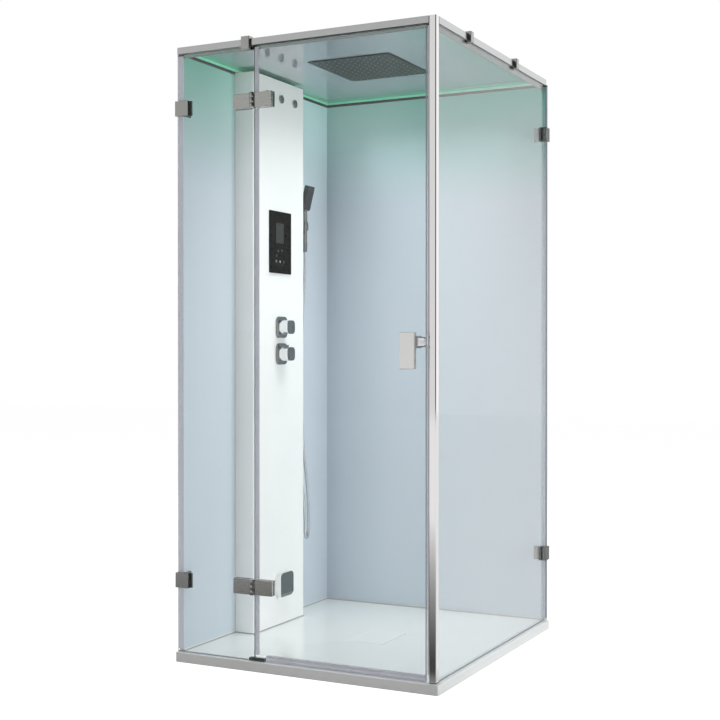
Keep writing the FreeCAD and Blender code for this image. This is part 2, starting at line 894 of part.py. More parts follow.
def make_glass_foot_seals():
    bottom = deck_z + seat_gap
    top = fixed_glass_bottom - seat_gap
    front_seal = glass_box("front", left, floor_clamp_left - seat_gap,
                           -glass_thickness - foot_seal_margin, foot_seal_margin, bottom, top)
    rim_notch = box(left - 1, left_wall_in + seat_gap, wall_front - seat_gap, back, 0, rim_z)
    right_seal = glass_box("right", right_glass_front, back_wall_in - seat_gap,
                           -glass_thickness - foot_seal_margin, foot_seal_margin, bottom, top)
    return group([front_seal.cut(rim_notch), right_seal])


def make_post_magnet_strip():
    middle = (glass_front_out + glass_front_in) / 2
    return box(post_left - seat_gap - magnet_strip_width, post_left - seat_gap,
               middle - magnet_strip_thickness / 2, middle + magnet_strip_thickness / 2,
               vertical_seal_bottom, door_top - vertical_seal_end_gap)


vertical_seal_bottom = deck_z + bottom_seal_height + vertical_seal_end_gap

# ------------------------------------------------------- wall clamps and clips

wall_clamps = [
    {"side": "front", "corner": left_wall_in, "away": 1, "wall": left_wall_in - left,
     "reach": clamp_reach_left, "wall_end": None, "z": z}
    for z in (clamp_lower_z_left, rail_z - clamp_left_below_rail)
] + [
    {"side": "right", "corner": back_wall_in, "away": -1, "wall": back - back_wall_in,
     "reach": clamp_reach_right, "wall_end": glass_right_in - back_wall_right, "z": z}
    for z in (clamp_lower_z_right, rail_z - clamp_right_below_rail)
]
pad_room = clamp_pad_thickness + 2 * clamp_pad_play
clamp_outer_v = -glass_thickness - pad_room
clamp_inner_v = pad_room
clamp_inner_face_v = clamp_inner_v + clamp_plate_thickness


def clamp_screw_u(clamp):
    return clamp["corner"] + clamp["away"] * (clamp["reach"] - 11.0)


def clamp_prism(clamp, outline):
    """An outline of (distance from the wall's face, v), as tall as the clamp."""
    points = [(clamp["corner"] + clamp["away"] * d, v) for d, v in outline]
    return glass_prism(clamp["side"], points, clamp["z"] - clamp_height / 2,
                       clamp["z"] + clamp_height / 2)


def make_wall_clamp_outer(clamp):
    reach = clamp["reach"]
    behind_wall = -clamp["wall"] - seat_gap
    leg_back = -clamp["wall"] - clamp_wall_overhang
    if clamp["wall_end"] is None:
        cover_v = clamp_outer_v
        outline = [(reach, clamp_outer_v), (behind_wall, clamp_outer_v)]
    else:
        cover_v = clamp["wall_end"] - seat_gap
        outline = [(reach, clamp_outer_v), (seat_gap, clamp_outer_v),
                   (seat_gap, cover_v), (behind_wall, cover_v)]
    face_v = cover_v - clamp_plate_thickness
    outline += [(behind_wall, clamp_leg), (leg_back, clamp_leg), (leg_back, face_v),
                (reach, face_v)]
    plate = clamp_prism(clamp, outline)
    plate = round_edges(plate, hinge_edge_radius, lambda edge: (
        edge_runs_along("z")(edge) and is_outer_clamp_edge(clamp, edge, leg_back, face_v)))
    return plate.cut(clamp_screw_room(clamp["side"], clamp_screw_u(clamp), clamp["z"],
                                      clamp_inner_face_v, clamp_outer_v))


def is_outer_clamp_edge(clamp, edge, leg_back, face_v):
    x, y = on_glass(clamp["side"], clamp["corner"] + clamp["away"] * leg_back, face_v)
    middle = edge.BoundBox.Center
    return abs(middle.x - x) < 0.01 and abs(middle.y - y) < 0.01


def make_wall_clamp_inner(clamp):
    outline = [(seat_gap, clamp_inner_v), (seat_gap, clamp_leg),
               (clamp_plate_thickness, clamp_leg), (clamp_plate_thickness, clamp_inner_face_v),
               (clamp["reach"] + clamp_plate_thickness, clamp_inner_face_v),
               (clamp["reach"] + clamp_plate_thickness, clamp_inner_v)]
    plate = clamp_prism(clamp, outline)
    return plate.cut(clamp_screw_room(clamp["side"], clamp_screw_u(clamp), clamp["z"],
                                      clamp_inner_face_v, clamp_outer_v))


def make_clamp_pads(clamp):
    outer = [(1.0, clamp_outer_v + clamp_pad_play), (1.0, -glass_thickness - clamp_pad_play),
             (clamp["reach"], -glass_thickness - clamp_pad_play),
             (clamp["reach"], clamp_outer_v + clamp_pad_play)]
    inner = [(seat_gap, clamp_pad_play), (clamp["reach"], clamp_pad_play),
             (clamp["reach"], clamp_inner_v - clamp_pad_play),
             (seat_gap, clamp_inner_v - clamp_pad_play)]
    through = glass_rod(clamp["side"], clamp_screw_u(clamp), clamp["z"],
                        clamp_outer_v - 1, clamp_inner_v + 1, screw_radius + screw_clearance)
    return [clamp_prism(clamp, outer).cut(through), clamp_prism(clamp, inner).cut(through)]


def make_rail_clip(axis, middle, clip_length, foot_drop):
    toe_top = rail_z - 1.0
    foot = rail_z - foot_drop
    outline = [(-seat_gap, toe_top), (rail_lip - seat_gap, toe_top), (rail_lip - seat_gap, foot),
               (-clip_proud, foot), (-clip_proud, cabin_height + clip_top_rise),
               (clip_cover, cabin_height + clip_top_rise), (clip_cover, cabin_height + seat_gap),
               (-seat_gap, cabin_height + seat_gap)]
    start = middle - clip_length / 2
    end = middle + clip_length / 2
    if axis == "x":
        clip = rail_along("x", frame_front, 1, start, end, outline)
        outer_face = frame_front - clip_proud
        return round_edges(clip, hinge_edge_radius, edge_lies_at("y", outer_face))
    clip = rail_along("y", frame_right, -1, start, end, outline)
    return round_edges(clip, hinge_edge_radius, edge_lies_at("x", frame_right + clip_proud))


def make_floor_clamp():
    bottom = deck_z + seat_gap
    top = bottom + floor_clamp_height
    block = glass_box("front", floor_clamp_left, floor_clamp_right,
                      -glass_thickness - floor_clamp_margin, floor_clamp_margin, bottom, top)
    slot = glass_box("front", floor_clamp_left - 1, fixed_glass_edge + floor_clamp_play,
                     -glass_thickness - floor_clamp_play, floor_clamp_play,
                     fixed_glass_bottom - seat_gap, top + 1)
    return block.cut(slot)


# ---------------------------------------------------------------------- hinges


def hinge_axis_rod(z0, z1, radius):
    x, y = on_glass("front", hinge_axis_x, -hinge_axis_front)
    return rod((x, y, z0), (0, 0, 1), radius, z1 - z0)


def make_hinge_leaf(direction, z, knuckles):
    """One outer leaf; direction is -1 on the fixed glass and +1 on the door."""
    bottom = z - hinge_height / 2
    top = z + hinge_height / 2
    plate_edges = sorted((hinge_axis_x + direction * hinge_plate_edge,
                          hinge_axis_x + direction * hinge_reach))
    leaf = glass_box("front", plate_edges[0], plate_edges[1],
                     -hinge_axis_front, -glass_thickness - seat_gap, bottom, top)
    leaf = round_edges(leaf, hinge_edge_radius, edge_lies_at("y", glass_front_in - hinge_axis_front))
    solids = [leaf]
    web_edges = sorted((hinge_axis_x, hinge_axis_x + direction * (hinge_plate_edge + 2)))
    for low, high in knuckles:
        solids.append(hinge_axis_rod(bottom + low, bottom + high, hinge_barrel_radius))
        solids.append(glass_box("front", web_edges[0], web_edges[1], -hinge_axis_front + 0.5,
                                -hinge_axis_front + hinge_web_thickness, bottom + low, bottom + high))
    leaf = fuse_all(solids)
    leaf = leaf.cut(hinge_axis_rod(bottom - 1, top + 1, hinge_pin_radius + hinge_pin_clearance))
    screws = [clamp_screw_room("front", hinge_axis_x + direction * offset, z,
                               hinge_inner_face_v, hinge_outer_v) for offset in hinge_screw_offsets]
    return cut_all(leaf, screws)


def make_hinge_inner_plate(direction, z):
    edges = sorted((hinge_axis_x + direction * hinge_plate_edge,
                    hinge_axis_x + direction * hinge_reach))
    plate = glass_box("front", edges[0], edges[1], seat_gap, hinge_inner_face_v,
                      z - hinge_height / 2, z + hinge_height / 2)
    plate = round_edges(plate, hinge_edge_radius,
                        edge_lies_at("y", glass_front_in + hinge_inner_face_v))
    return cut_all(plate, [clamp_screw_room("front", hinge_axis_x + direction * offset, z,
                                            hinge_inner_face_v, hinge_outer_v)
                           for offset in hinge_screw_offsets])


def hinge_screws(direction):
    return [clamp_screw("front", hinge_axis_x + direction * offset, z,
                        hinge_inner_face_v, hinge_outer_v)
            for offset in hinge_screw_offsets for z in hinge_heights]


def make_hinge_pins():
    pins = []
    for z in hinge_heights:
        bottom = z - hinge_height / 2
        top = z + hinge_height / 2
        shaft = hinge_axis_rod(bottom, top + seat_gap, hinge_pin_radius)
        head = hinge_axis_rod(top + seat_gap, top + seat_gap + hinge_pin_head,
                              hinge_barrel_radius - 1)
        pins.append(shaft.fuse(head).removeSplitter())
    return group(pins)


hinge_inner_face_v = seat_gap + inner_plate_thickness
hinge_outer_v = -glass_thickness - seat_gap
knuckle_third = hinge_height / 3
outer_knuckles = [(0, knuckle_third - hinge_knuckle_gap / 2),
                  (2 * knuckle_third + hinge_knuckle_gap / 2, hinge_height)]
middle_knuckle = [(knuckle_third + hinge_knuckle_gap / 2,
                   2 * knuckle_third - hinge_knuckle_gap / 2)]

# ------------------------------------------------------------------------ door


def make_door_glass():
    pane = box(door_left, door_right, glass_front_out, glass_front_in, door_bottom, door_top)
    holes = [glass_hole("front", hinge_axis_x + offset, z)
             for offset in hinge_screw_offsets for z in hinge_heights]
    holes.append(glass_hole("front", handle_post_x, handle_post_z))
    return cut_all(pane, holes)


def make_door_seals():
    middle = -glass_thickness / 2
    half = bottom_seal_thickness / 2
    bottom = deck_z + door_seal_clearance
    top = deck_z + bottom_seal_height
    grip = door_bottom - 3.0
    start = door_left + bottom_seal_start
    outline = [(middle - half, top), (middle - half, grip), (middle - 1.5, bottom),
               (middle + 1.5, bottom), (middle + half, grip), (middle + half, top)]
    points = [on_glass("front", start, v) + (z,) for v, z in outline]
    bottom_seal = prism(points, (door_right - start, 0, 0))
    bottom_seal = bottom_seal.cut(glass_box("front", start - 1, door_right + 1,
                                            -glass_thickness - seat_gap, seat_gap,
                                            door_bottom - seat_gap, top + 1))
    seal_top = door_top - vertical_seal_end_gap
    hinge_seal = glass_box("front", door_left - seal_side_gap - hinge_seal_width + 0.4,
                           door_left - seal_side_gap, -glass_thickness + 1, -1,
                           vertical_seal_bottom, seal_top)
    magnet_v0 = middle - magnet_seal_thickness / 2
    magnet_seal = glass_box("front", door_right + seal_side_gap,
                            door_right + seal_side_gap + magnet_seal_width,
                            magnet_v0, magnet_v0 + magnet_seal_thickness,
                            vertical_seal_bottom, seal_top)
    return group([bottom_seal, hinge_seal, magnet_seal])


def make_handle_plate():
    outer_v = -glass_thickness - handle_projection
    plate = glass_box("front", handle_plate_x - handle_plate_width / 2,
                      handle_plate_x + handle_plate_width / 2,
                      outer_v, outer_v + handle_plate_thickness,
                      handle_plate_z - handle_plate_height / 2,
                      handle_plate_z + handle_plate_height / 2)
    return plate.makeFillet(handle_plate_radius, plate.Edges)


def make_handle_standoff():
    inner_v = -glass_thickness - seat_gap
    outer_v = -glass_thickness - handle_projection + handle_plate_thickness + seat_gap
    post = glass_rod("front", handle_post_x, handle_post_z, outer_v, inner_v, handle_post_radius)
    room = glass_rod("front", handle_post_x, handle_post_z,
                     inner_v - handle_bolt_engagement - seat_gap, inner_v + 1,
                     handle_bolt_radius + screw_clearance)
    return post.cut(room)


def make_handle_inner_knob():
    knob = glass_rod("front", handle_post_x, handle_post_z, seat_gap,
                     seat_gap + inner_knob_length, inner_knob_radius)
    knob = round_edges(knob, 2.0, edge_lies_at("y", glass_front_in + seat_gap + inner_knob_length))
    room = glass_rod("front", handle_post_x, handle_post_z, -1,
                     handle_bolt_engagement + seat_gap, handle_bolt_radius + screw_clearance)
    return knob.cut(room)


def make_door_screws():
    bolt = glass_rod("front", handle_post_x, handle_post_z,
                     -glass_thickness - seat_gap - handle_bolt_engagement,
                     handle_bolt_engagement, handle_bolt_radius)
    return group(hinge_screws(1) + [bolt])


seal_side_gap = 0.3

# ---------------------------------------------------------------------- column


def make_column_shell():
    shell = box(column_back, column_face, column_left, column_right, column_bottom, column_top)
    shell = round_edges(shell, column_edge_radius, lambda edge: (
        edge_runs_along("z")(edge) and edge_lies_at("x", column_face)(edge)))
    inside = box(column_back - 1, column_inner_face, column_left + column_wall,
                 column_right - column_wall, column_bottom + column_wall, column_top - column_wall)
    shell = shell.cut(inside)
    through = column_wall + 2
    x0 = column_inner_face - 1
    neck_width = control_box_width - 2 * control_neck_margin + 2 * control_neck_play
    neck_height = control_box_height - 2 * control_neck_margin + 2 * control_neck_play
    holes = [box(x0, x0 + through, panel_y - neck_width / 2, panel_y + neck_width / 2,
                 panel_z - neck_height / 2, panel_z + neck_height / 2)]
    for y in jet_places:
        holes.append(rod((x0, y, jet_z), (1, 0, 0), jet_tail_radius + shell_hole_play, through))
    for z in (diverter_z, temperature_z):
        holes.append(rod((x0, mixer_y, z), (1, 0, 0), stem_radius + stem_play, through))
    holes.append(rod((x0, steam_y, steam_z), (1, 0, 0), pipe_radius + shell_hole_play, through))
    holes.append(rod((outlet_x, column_right - column_wall - 1, outlet_z), (0, 1, 0),
                     outlet_radius + shell_hole_play, through))
    holes.append(rod((riser_x, rain_head_y, column_top - column_wall - 1), (0, 0, 1),
                     pipe_radius + shell_hole_play, through))
    return cut_all(shell, holes)


def make_column_back_plate():
    inset = column_wall + back_plate_play
    plate = box(column_back + seat_gap, back_plate_front, column_left + inset,
                column_right - inset, column_bottom + inset, column_top - inset)
    return cut_all(plate, service_holes(column_back - 1, back_plate_front + 1, inlet_hole_play))


def make_control_glass():
    pane = rounded_tile(on_column, on_column + panel_thickness, panel_y, panel_z,
                        panel_width, panel_height, panel_corner_radius)
    face = on_column + panel_thickness
    pocket = box(face - display_thickness - display_play, face + 1,
                 display_y - display_width / 2 - display_play,
                 display_y + display_width / 2 + display_play,
                 display_z - display_height / 2 - display_play,
                 display_z + display_height / 2 + display_play)
    return pane.cut(pocket)


def make_control_display():
    face = on_column + panel_thickness
    return box(face - display_thickness, face,
               display_y - display_width / 2, display_y + display_width / 2,
               display_z - display_height / 2, display_z + display_height / 2)


def make_control_box():
    front_x = column_inner_face - seat_gap
    body = box(front_x - control_box_depth, front_x,
               panel_y - control_box_width / 2, panel_y + control_box_width / 2,
               panel_z - control_box_height / 2, panel_z + control_box_height / 2)
    neck = box(front_x - 1, column_face,
               panel_y - control_box_width / 2 + control_neck_margin,
               panel_y + control_box_width / 2 - control_neck_margin,
               panel_z - control_box_height / 2 + control_neck_margin,
               panel_z + control_box_height / 2 - control_neck_margin)
    return body.fuse(neck).removeSplitter()


def make_jet_flange(y):
    plate = rod((on_column, y, jet_z), (1, 0, 0), jet_flange_radius, jet_flange_thickness)
    plate = round_edges(plate, 1.2, edge_lies_at("x", on_column + jet_flange_thickness))
    tail = rod((column_face - jet_tail_length, y, jet_z), (1, 0, 0), jet_tail_radius,
               jet_tail_length + seat_gap + 1)
    socket = Part.makeSphere(jet_ball_radius + jet_ball_clearance, V(jet_ball_x, y, jet_z),
                             V(1, 0, 0))
    bore = rod((column_face - jet_tail_length - 1, y, jet_z), (1, 0, 0), jet_tail_bore,
               jet_tail_length)
    return plate.fuse(tail).cut(socket).cut(bore).removeSplitter()


def make_jet_nozzle(y):
    flat_angle = math.degrees(math.asin(jet_ball_front / jet_ball_radius))
    ball = Part.makeSphere(jet_ball_radius, V(jet_ball_x, y, jet_z), V(1, 0, 0),
                           -flat_angle, flat_angle, 360)
    return ball.cut(rod((jet_ball_x - jet_ball_radius, y, jet_z), (1, 0, 0), jet_spray_radius,
                        2 * jet_ball_radius))


def make_escutcheon(z):
    front_x = on_column + escutcheon_thickness
    tile = rounded_tile(on_column, front_x, mixer_y, z, escutcheon_width, escutcheon_height,
                        escutcheon_radius)
    tile = round_edges(tile, escutcheon_edge, edge_lies_at("x", front_x))
    return tile.cut(rod((on_column - 1, mixer_y, z), (1, 0, 0), stem_radius + stem_play,
                        escutcheon_thickness + 2))


def make_mixer_knob(z):
    back_x = on_column + escutcheon_thickness + seat_gap
    front_x = back_x + knob_length
    knob = rounded_tile(back_x, front_x, mixer_y, z, knob_width, knob_height, knob_radius)
    knob = round_edges(knob, knob_edge, edge_lies_at("x", front_x))
    stem = rod((valve_front + seat_gap, mixer_y, z), (1, 0, 0), stem_radius,
               back_x - valve_front)
    return knob.fuse(stem).removeSplitter()


def stop_button_x():
    return on_column + escutcheon_thickness + seat_gap + knob_length - stop_button_setback


def make_temperature_knob():
    knob = make_mixer_knob(temperature_z)
    top = temperature_z + knob_height / 2
    depth = stop_button_length - stop_button_proud + stop_button_travel + seat_gap
    return knob.cut(rod((stop_button_x(), mixer_y, top - depth), (0, 0, 1),
                        stop_button_radius + stop_button_play, depth + 1))


def make_stop_button():
    top = temperature_z + knob_height / 2 + stop_button_proud
    button = rod((stop_button_x(), mixer_y, top - stop_button_length), (0, 0, 1),
                 stop_button_radius, stop_button_length)
    return round_edges(button, 0.8, edge_lies_at("z", top))


def make_mixer_valve():
    body = box(seat_on_back_plate, valve_front, valve_left, valve_right, valve_bottom, valve_top)
    solids = [body]
    bores = []
    for side in (-1, 1):
        y = inlet_middle_y + side * inlet_spacing / 2
        solids.append(rod((left - inlet_length, y, inlet_z), (1, 0, 0), inlet_radius,
                          inlet_length))
        solids.append(rod((left - 1, y, inlet_z), (1, 0, 0), inlet_pipe_radius,
                          seat_on_back_plate + 2 - left))
        bores.append(rod((left - inlet_length - 1, y, inlet_z), (1, 0, 0), inlet_bore,
                         inlet_length + 20))
    return cut_all(fuse_all(solids), bores)


# --------------------------------------------------------------- steam and water


def make_steam_outlet_base():
    plate = rounded_tile(on_column, on_column + steam_base_thickness, steam_y, steam_z,
                         steam_hood_width + 2 * steam_base_margin,
                         steam_hood_height + 2 * steam_base_margin,
                         steam_hood_radius + steam_base_margin)
    return plate.cut(rod((on_column - 1, steam_y, steam_z), (1, 0, 0), pipe_bore,
                         steam_base_thickness + 2))


def make_steam_outlet_hood():
    back_x = on_column + steam_base_thickness + seat_gap
    front_x = back_x + steam_hood_depth
    y0 = steam_y - steam_hood_width / 2
    z0 = steam_z - steam_hood_height / 2
    z1 = steam_z + steam_hood_height / 2
    profile = [(back_x, y0, z0), (front_x - steam_slope_depth, y0, z0),
               (front_x, y0, z0 + steam_slope_height), (front_x, y0, z1), (back_x, y0, z1)]
    hood = prism(profile, (0, steam_hood_width, 0))
    outline = rounded_tile(back_x - 1, front_x + 1, steam_y, steam_z,
                           steam_hood_width, steam_hood_height, steam_hood_radius)
    hood = hood.common(outline)
    inset = steam_hood_wall
    chamber = [(back_x - 1, 0, z0 + inset + 6), (front_x - steam_slope_depth - inset, 0, z0 + inset + 6),
               (front_x - inset, 0, z0 + steam_slope_height), (front_x - inset, 0, z1 - inset - 6),
               (back_x - 1, 0, z1 - inset - 6)]
    width = steam_hood_width - 2 * steam_hood_radius
    chamber = prism([(x, steam_y - width / 2, z) for x, y, z in chamber], (0, width, 0))
    slot = box(back_x + inset, back_x + inset + 4.5, steam_y - steam_slot_width / 2,
               steam_y + steam_slot_width / 2, z0 - 1, z0 + inset + 7)
    return hood.cut(chamber).cut(slot)


def make_steam_generator():
    body = box(seat_on_back_plate, seat_on_back_plate + generator_depth, generator_left,
               generator_right, generator_bottom, generator_top)
    body = round_edges(body, generator_radius, edge_runs_along("x"))
    outlet = rod((riser_x, steam_y, generator_bottom - 1), (0, 0, 1), pipe_bore, 12)
    return body.cut(outlet)


def make_cable_gland():
    nut = rod((left - seat_gap - gland_length, gland_y, gland_z), (1, 0, 0), gland_radius,
              gland_length)
    nut = round_edges(nut, 2.0, edge_lies_at("x", left - seat_gap - gland_length))
    thread_end = seat_on_back_plate - seat_gap
    thread = rod((left - 1, gland_y, gland_z), (1, 0, 0), gland_thread_radius,
                 thread_end - left + 1)
    bore = rod((left - 2 * gland_length, gland_y, gland_z), (1, 0, 0), gland_bore,
               thread_end - left + 3 * gland_length)
    return nut.fuse(thread).cut(bore).removeSplitter()


def make_supply_pipes():
    riser_bottom = valve_top + seat_gap
    riser = rod((riser_x, rain_head_y, riser_bottom), (0, 0, 1), pipe_radius,
                column_top - seat_gap - riser_bottom)
    steam = bent_pipe([(riser_x, steam_y, generator_bottom - seat_gap),
                       (riser_x, steam_y, steam_z),
                       (column_face, steam_y, steam_z)], pipe_radius, pipe_bore)
    hand_y_run = valve_right + 2 * pipe_bend
    hand = bent_pipe([(outlet_x, valve_right + seat_gap, valve_bottom + 20.0),
                      (outlet_x, hand_y_run - 10.0, valve_bottom + 20.0),
                      (outlet_x, hand_y_run - 10.0, outlet_z),
                      (outlet_x, outlet_tail_y - seat_gap, outlet_z)], pipe_radius, pipe_bore)
    manifold_x = column_face - jet_tail_length - seat_gap - manifold_radius
    overhang = jet_tail_radius + 1.0
    manifold = rod((manifold_x, jet_places[0] - overhang, jet_z), (0, 1, 0),
                   manifold_radius, jet_places[-1] - jet_places[0] + 2 * overhang)
    branch = rod((riser_x, rain_head_y, jet_z), (1, 0, 0), pipe_radius - 1, manifold_x - riser_x)
    riser_way = rod((riser_x, rain_head_y, riser_bottom - 1), (0, 0, 1), pipe_bore,
                    column_top - riser_bottom + 2)
    return group([fuse_all([riser, branch, manifold]).cut(riser_way), steam, hand])


def make_overhead_pipe():
    head_side = rain_head_x - rain_boss_size / 2 - seat_gap
    return bent_pipe([(riser_x, rain_head_y, column_top),
                      (riser_x, rain_head_y, overhead_pipe_z),
                      (head_side, rain_head_y, overhead_pipe_z)], pipe_radius, pipe_bore)


outlet_x = column_face - outlet_x_back
outlet_tail_y = column_right - column_wall - 10.0
outlet_y = column_right + outlet_reach


def make_hose_outlet():
    rosette = rod((outlet_x, column_right + seat_gap, outlet_z), (0, 1, 0),
                  outlet_rosette_radius, outlet_rosette_thickness)
    rosette = round_edges(rosette, 2.0, edge_lies_at(
        "y", column_right + seat_gap + outlet_rosette_thickness))
    stub = rod((outlet_x, outlet_tail_y, outlet_z), (0, 1, 0), outlet_radius,
               outlet_y - outlet_tail_y)
    knee = Part.makeSphere(outlet_radius, V(outlet_x, outlet_y, outlet_z))
    drop = rod((outlet_x, outlet_y, outlet_z - outlet_drop), (0, 0, 1), outlet_radius,
               outlet_drop)
    nut = Part.makeCone(outlet_nut_end_radius, outlet_nut_radius, outlet_nut_length,
                        V(outlet_x, outlet_y, outlet_z - outlet_drop - outlet_nut_length))
    return fuse_all([rosette, stub, knee, drop, nut])


# ----------------------------------------------------------------- hand shower


def tilted(shape):
    """Turn a shape made upright over the handle's top by the head's tilt."""
    shape.rotate(V(hand_x, hand_y, handle_top_z), V(0, 1, 0), head_tilt)
    return shape


def make_hand_shower():
    handle = Part.makeCone(handle_bottom_radius, handle_top_radius,
                           collar_z - handle_bottom_z + collar_height,
                           V(hand_x, hand_y, handle_bottom_z))
    upper = rod((hand_x, hand_y, collar_z), (0, 0, 1), handle_top_radius,
                handle_top_z - collar_z + 4.0)
    collar = rod((hand_x, hand_y, collar_z), (0, 0, 1), collar_radius, collar_height)
    collar = collar.makeChamfer(1.5, collar.Edges)
    head = box(hand_x - head_thickness / 2, hand_x + head_thickness / 2,
               hand_y - head_width / 2, hand_y + head_width / 2,
               handle_top_z, handle_top_z + head_length)
    head = round_edges(head, head_radius, edge_runs_along("x"))
    face_x = hand_x + head_thickness / 2
    seat = box(face_x - nozzle_plate_sunk - nozzle_plate_play, face_x + 1,
               hand_y - head_width / 2 + nozzle_plate_margin - nozzle_plate_play,
               hand_y + head_width / 2 - nozzle_plate_margin + nozzle_plate_play,
               handle_top_z + nozzle_plate_margin - nozzle_plate_play,
               handle_top_z + head_length - nozzle_plate_margin + nozzle_plate_play)
    return fuse_all([handle, upper, collar, tilted(head)]).cut(tilted(seat))


def make_hand_nozzle_face():
    face_x = hand_x + head_thickness / 2
    back_x = face_x - nozzle_plate_sunk
    y0 = hand_y - head_width / 2 + nozzle_plate_margin
    y1 = hand_y + head_width / 2 - nozzle_plate_margin
    z0 = handle_top_z + nozzle_plate_margin
    z1 = handle_top_z + head_length - nozzle_plate_margin
    plate = box(back_x, back_x + nozzle_plate_thickness, y0, y1, z0, z1)
    plate = round_edges(plate, 2.0, edge_runs_along("x"))
    holes = []
    for row in range(spray_rows):
        z = z0 + spray_edge_margin + (z1 - z0 - 2 * spray_edge_margin) * row / (spray_rows - 1)
        for column in range(spray_columns):
            share = column / (spray_columns - 1)
            y = y0 + spray_edge_margin + (y1 - y0 - 2 * spray_edge_margin) * share
            holes.append(rod((back_x - 1, y, z), (1, 0, 0), spray_hole_radius,
                             nozzle_plate_thickness + 2))
    return tilted(cut_all(plate, holes))


def make_hose_nut():
    top = handle_bottom_z - seat_gap
    nut = Part.makeCone(nut_bottom_radius, nut_top_radius, nut_length,
                        V(hand_x, hand_y, top - nut_length))
    return nut


def make_shower_holder():
    inner = handle_top_radius + holder_ring_play
    outer = inner + holder_ring_wall
    top = collar_z - seat_gap
    bottom = top - holder_ring_height
    ring = rod((hand_x, hand_y, bottom), (0, 0, 1), outer, holder_ring_height)
    base_y = column_right + seat_gap
    arm = box(hand_x - holder_arm_width / 2, hand_x + holder_arm_width / 2,
              base_y + 1, hand_y - inner / 2, bottom, top)
    base = box(hand_x - holder_base_width / 2, hand_x + holder_base_width / 2,
               base_y, base_y + holder_base_thickness,
               (bottom + top) / 2 - holder_base_height / 2,
               (bottom + top) / 2 + holder_base_height / 2)
    base = round_edges(base, 5.0, edge_runs_along("y"))
    holder = fuse_all([ring, arm, base])
    bore = rod((hand_x, hand_y, bottom - 1), (0, 0, 1), inner, holder_ring_height + 2)
    slot = box(hand_x - holder_slot / 2, hand_x + holder_slot / 2, hand_y, hand_y + outer + 1,
               bottom - 1, top + 1)
    return holder.cut(bore).cut(slot)


def make_shower_hose():
    radii = largest_radii(hose_points)
    path = routed_path(hose_points, radii)
    hose = sweep(path, hose_diameter / 2)
    section = math.pi * (hose_diameter / 2) ** 2
    print("hose length %.0f mm, volume over section times length %.4f"
          % (path.Length, hose.Volume / (section * path.Length)))
    print("hose bend radii", [round(radius) for radius in radii])
    return hose


# ------------------------------------------------------------------- all pieces

nodes = {
    "tray": make_tray,
    "waste_flange": make_waste_flange,
    "drain_cover": make_drain_cover,
    "left_wall_panel": make_left_wall_panel,
    "back_wall_panel": make_back_wall_panel,
    "wall_boards": make_wall_boards,
    "wall_edge_trims": make_wall_edge_trims,
    "rubber_gaskets": lambda: group(make_wall_gaskets() + [
        pad for clamp in wall_clamps for pad in make_clamp_pads(clamp)]),
    "front_fixed_glass": make_front_fixed_glass,
    "right_fixed_glass": make_right_fixed_glass,
    "glass_foot_seals": make_glass_foot_seals,
    "corner_post": make_corner_post,
    "corner_post_foot": make_corner_post_foot,
    "top_rails": make_top_rails,
    "roof_panel": make_roof_panel,
    "led_strips": make_led_strips,
    "rain_head_body": make_rain_head_body,
    "rain_head_plate": make_rain_head_plate,
    "rain_nozzle_mat": make_rain_nozzle_mat,
    "rail_clips": lambda: group(
        [make_rail_clip("x", front_clip_x, front_clip_length, front_clip_foot_drop)]
        + [make_rail_clip("y", y, right_clip_length, right_clip_foot_drop)
           for y in right_clip_y]),
    "floor_clamp": make_floor_clamp,
    "wall_clamp_outer": lambda: group(make_wall_clamp_outer(clamp) for clamp in wall_clamps),
    "inner_clamp_plates": lambda: group(
        [make_wall_clamp_inner(clamp) for clamp in wall_clamps]
        + [make_hinge_inner_plate(-1, z) for z in hinge_heights]),
    "clamp_screws": lambda: group(
        [clamp_screw(clamp["side"], clamp_screw_u(clamp), clamp["z"], clamp_inner_face_v,
                     clamp_outer_v) for clamp in wall_clamps] + hinge_screws(-1)),
    "post_magnet_strip": make_post_magnet_strip,
    "hinge_fixed_leaves": lambda: group(
        make_hinge_leaf(-1, z, outer_knuckles) for z in hinge_heights),
    "hinge_pins": make_hinge_pins,
    "column_shell": make_column_shell,
    "column_back_plate": make_column_back_plate,
    "control_glass": make_control_glass,
    "control_display": make_control_display,
    "control_box": make_control_box,
    "jet_flanges": lambda: group(make_jet_flange(y) for y in jet_places),
    "jet_nozzle_left": lambda: make_jet_nozzle(jet_places[0]),
    "jet_nozzle_middle": lambda: make_jet_nozzle(jet_places[1]),
    "jet_nozzle_right": lambda: make_jet_nozzle(jet_places[2]),
    "mixer_escutcheons": lambda: group(
        make_escutcheon(z) for z in (diverter_z, temperature_z)),
    "diverter_knob": lambda: make_mixer_knob(diverter_z),
    "temperature_knob": make_temperature_knob,
    "stop_button": make_stop_button,
    "mixer_valve": make_mixer_valve,
    "steam_outlet_base": make_steam_outlet_base,
    "steam_outlet_hood": make_steam_outlet_hood,
    "steam_generator": make_steam_generator,
    "cable_gland": make_cable_gland,
    "supply_pipes": make_supply_pipes,
    "overhead_pipe": make_overhead_pipe,
    "hose_outlet": make_hose_outlet,
    "shower_holder": make_shower_holder,
    "hand_shower": make_hand_shower,
    "hand_nozzle_face": make_hand_nozzle_face,
    "hose_nut": make_hose_nut,
    "shower_hose": make_shower_hose,
    "door_glass": make_door_glass,
    "hinge_door_plates": lambda: group(
        [make_hinge_leaf(1, z, middle_knuckle) for z in hinge_heights]
        + [make_hinge_inner_plate(1, z) for z in hinge_heights]),
    "door_screws": make_door_screws,
    "door_seals": make_door_seals,
    "handle_plate": make_handle_plate,
    "handle_standoff": make_handle_standoff,
    "handle_inner_knob": make_handle_inner_knob,
}

os.makedirs("parts", exist_ok=True)
for name, make in nodes.items():
    make().exportStep("parts/" + name + ".step")
print(len(nodes), "nodes")
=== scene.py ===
import json
import math

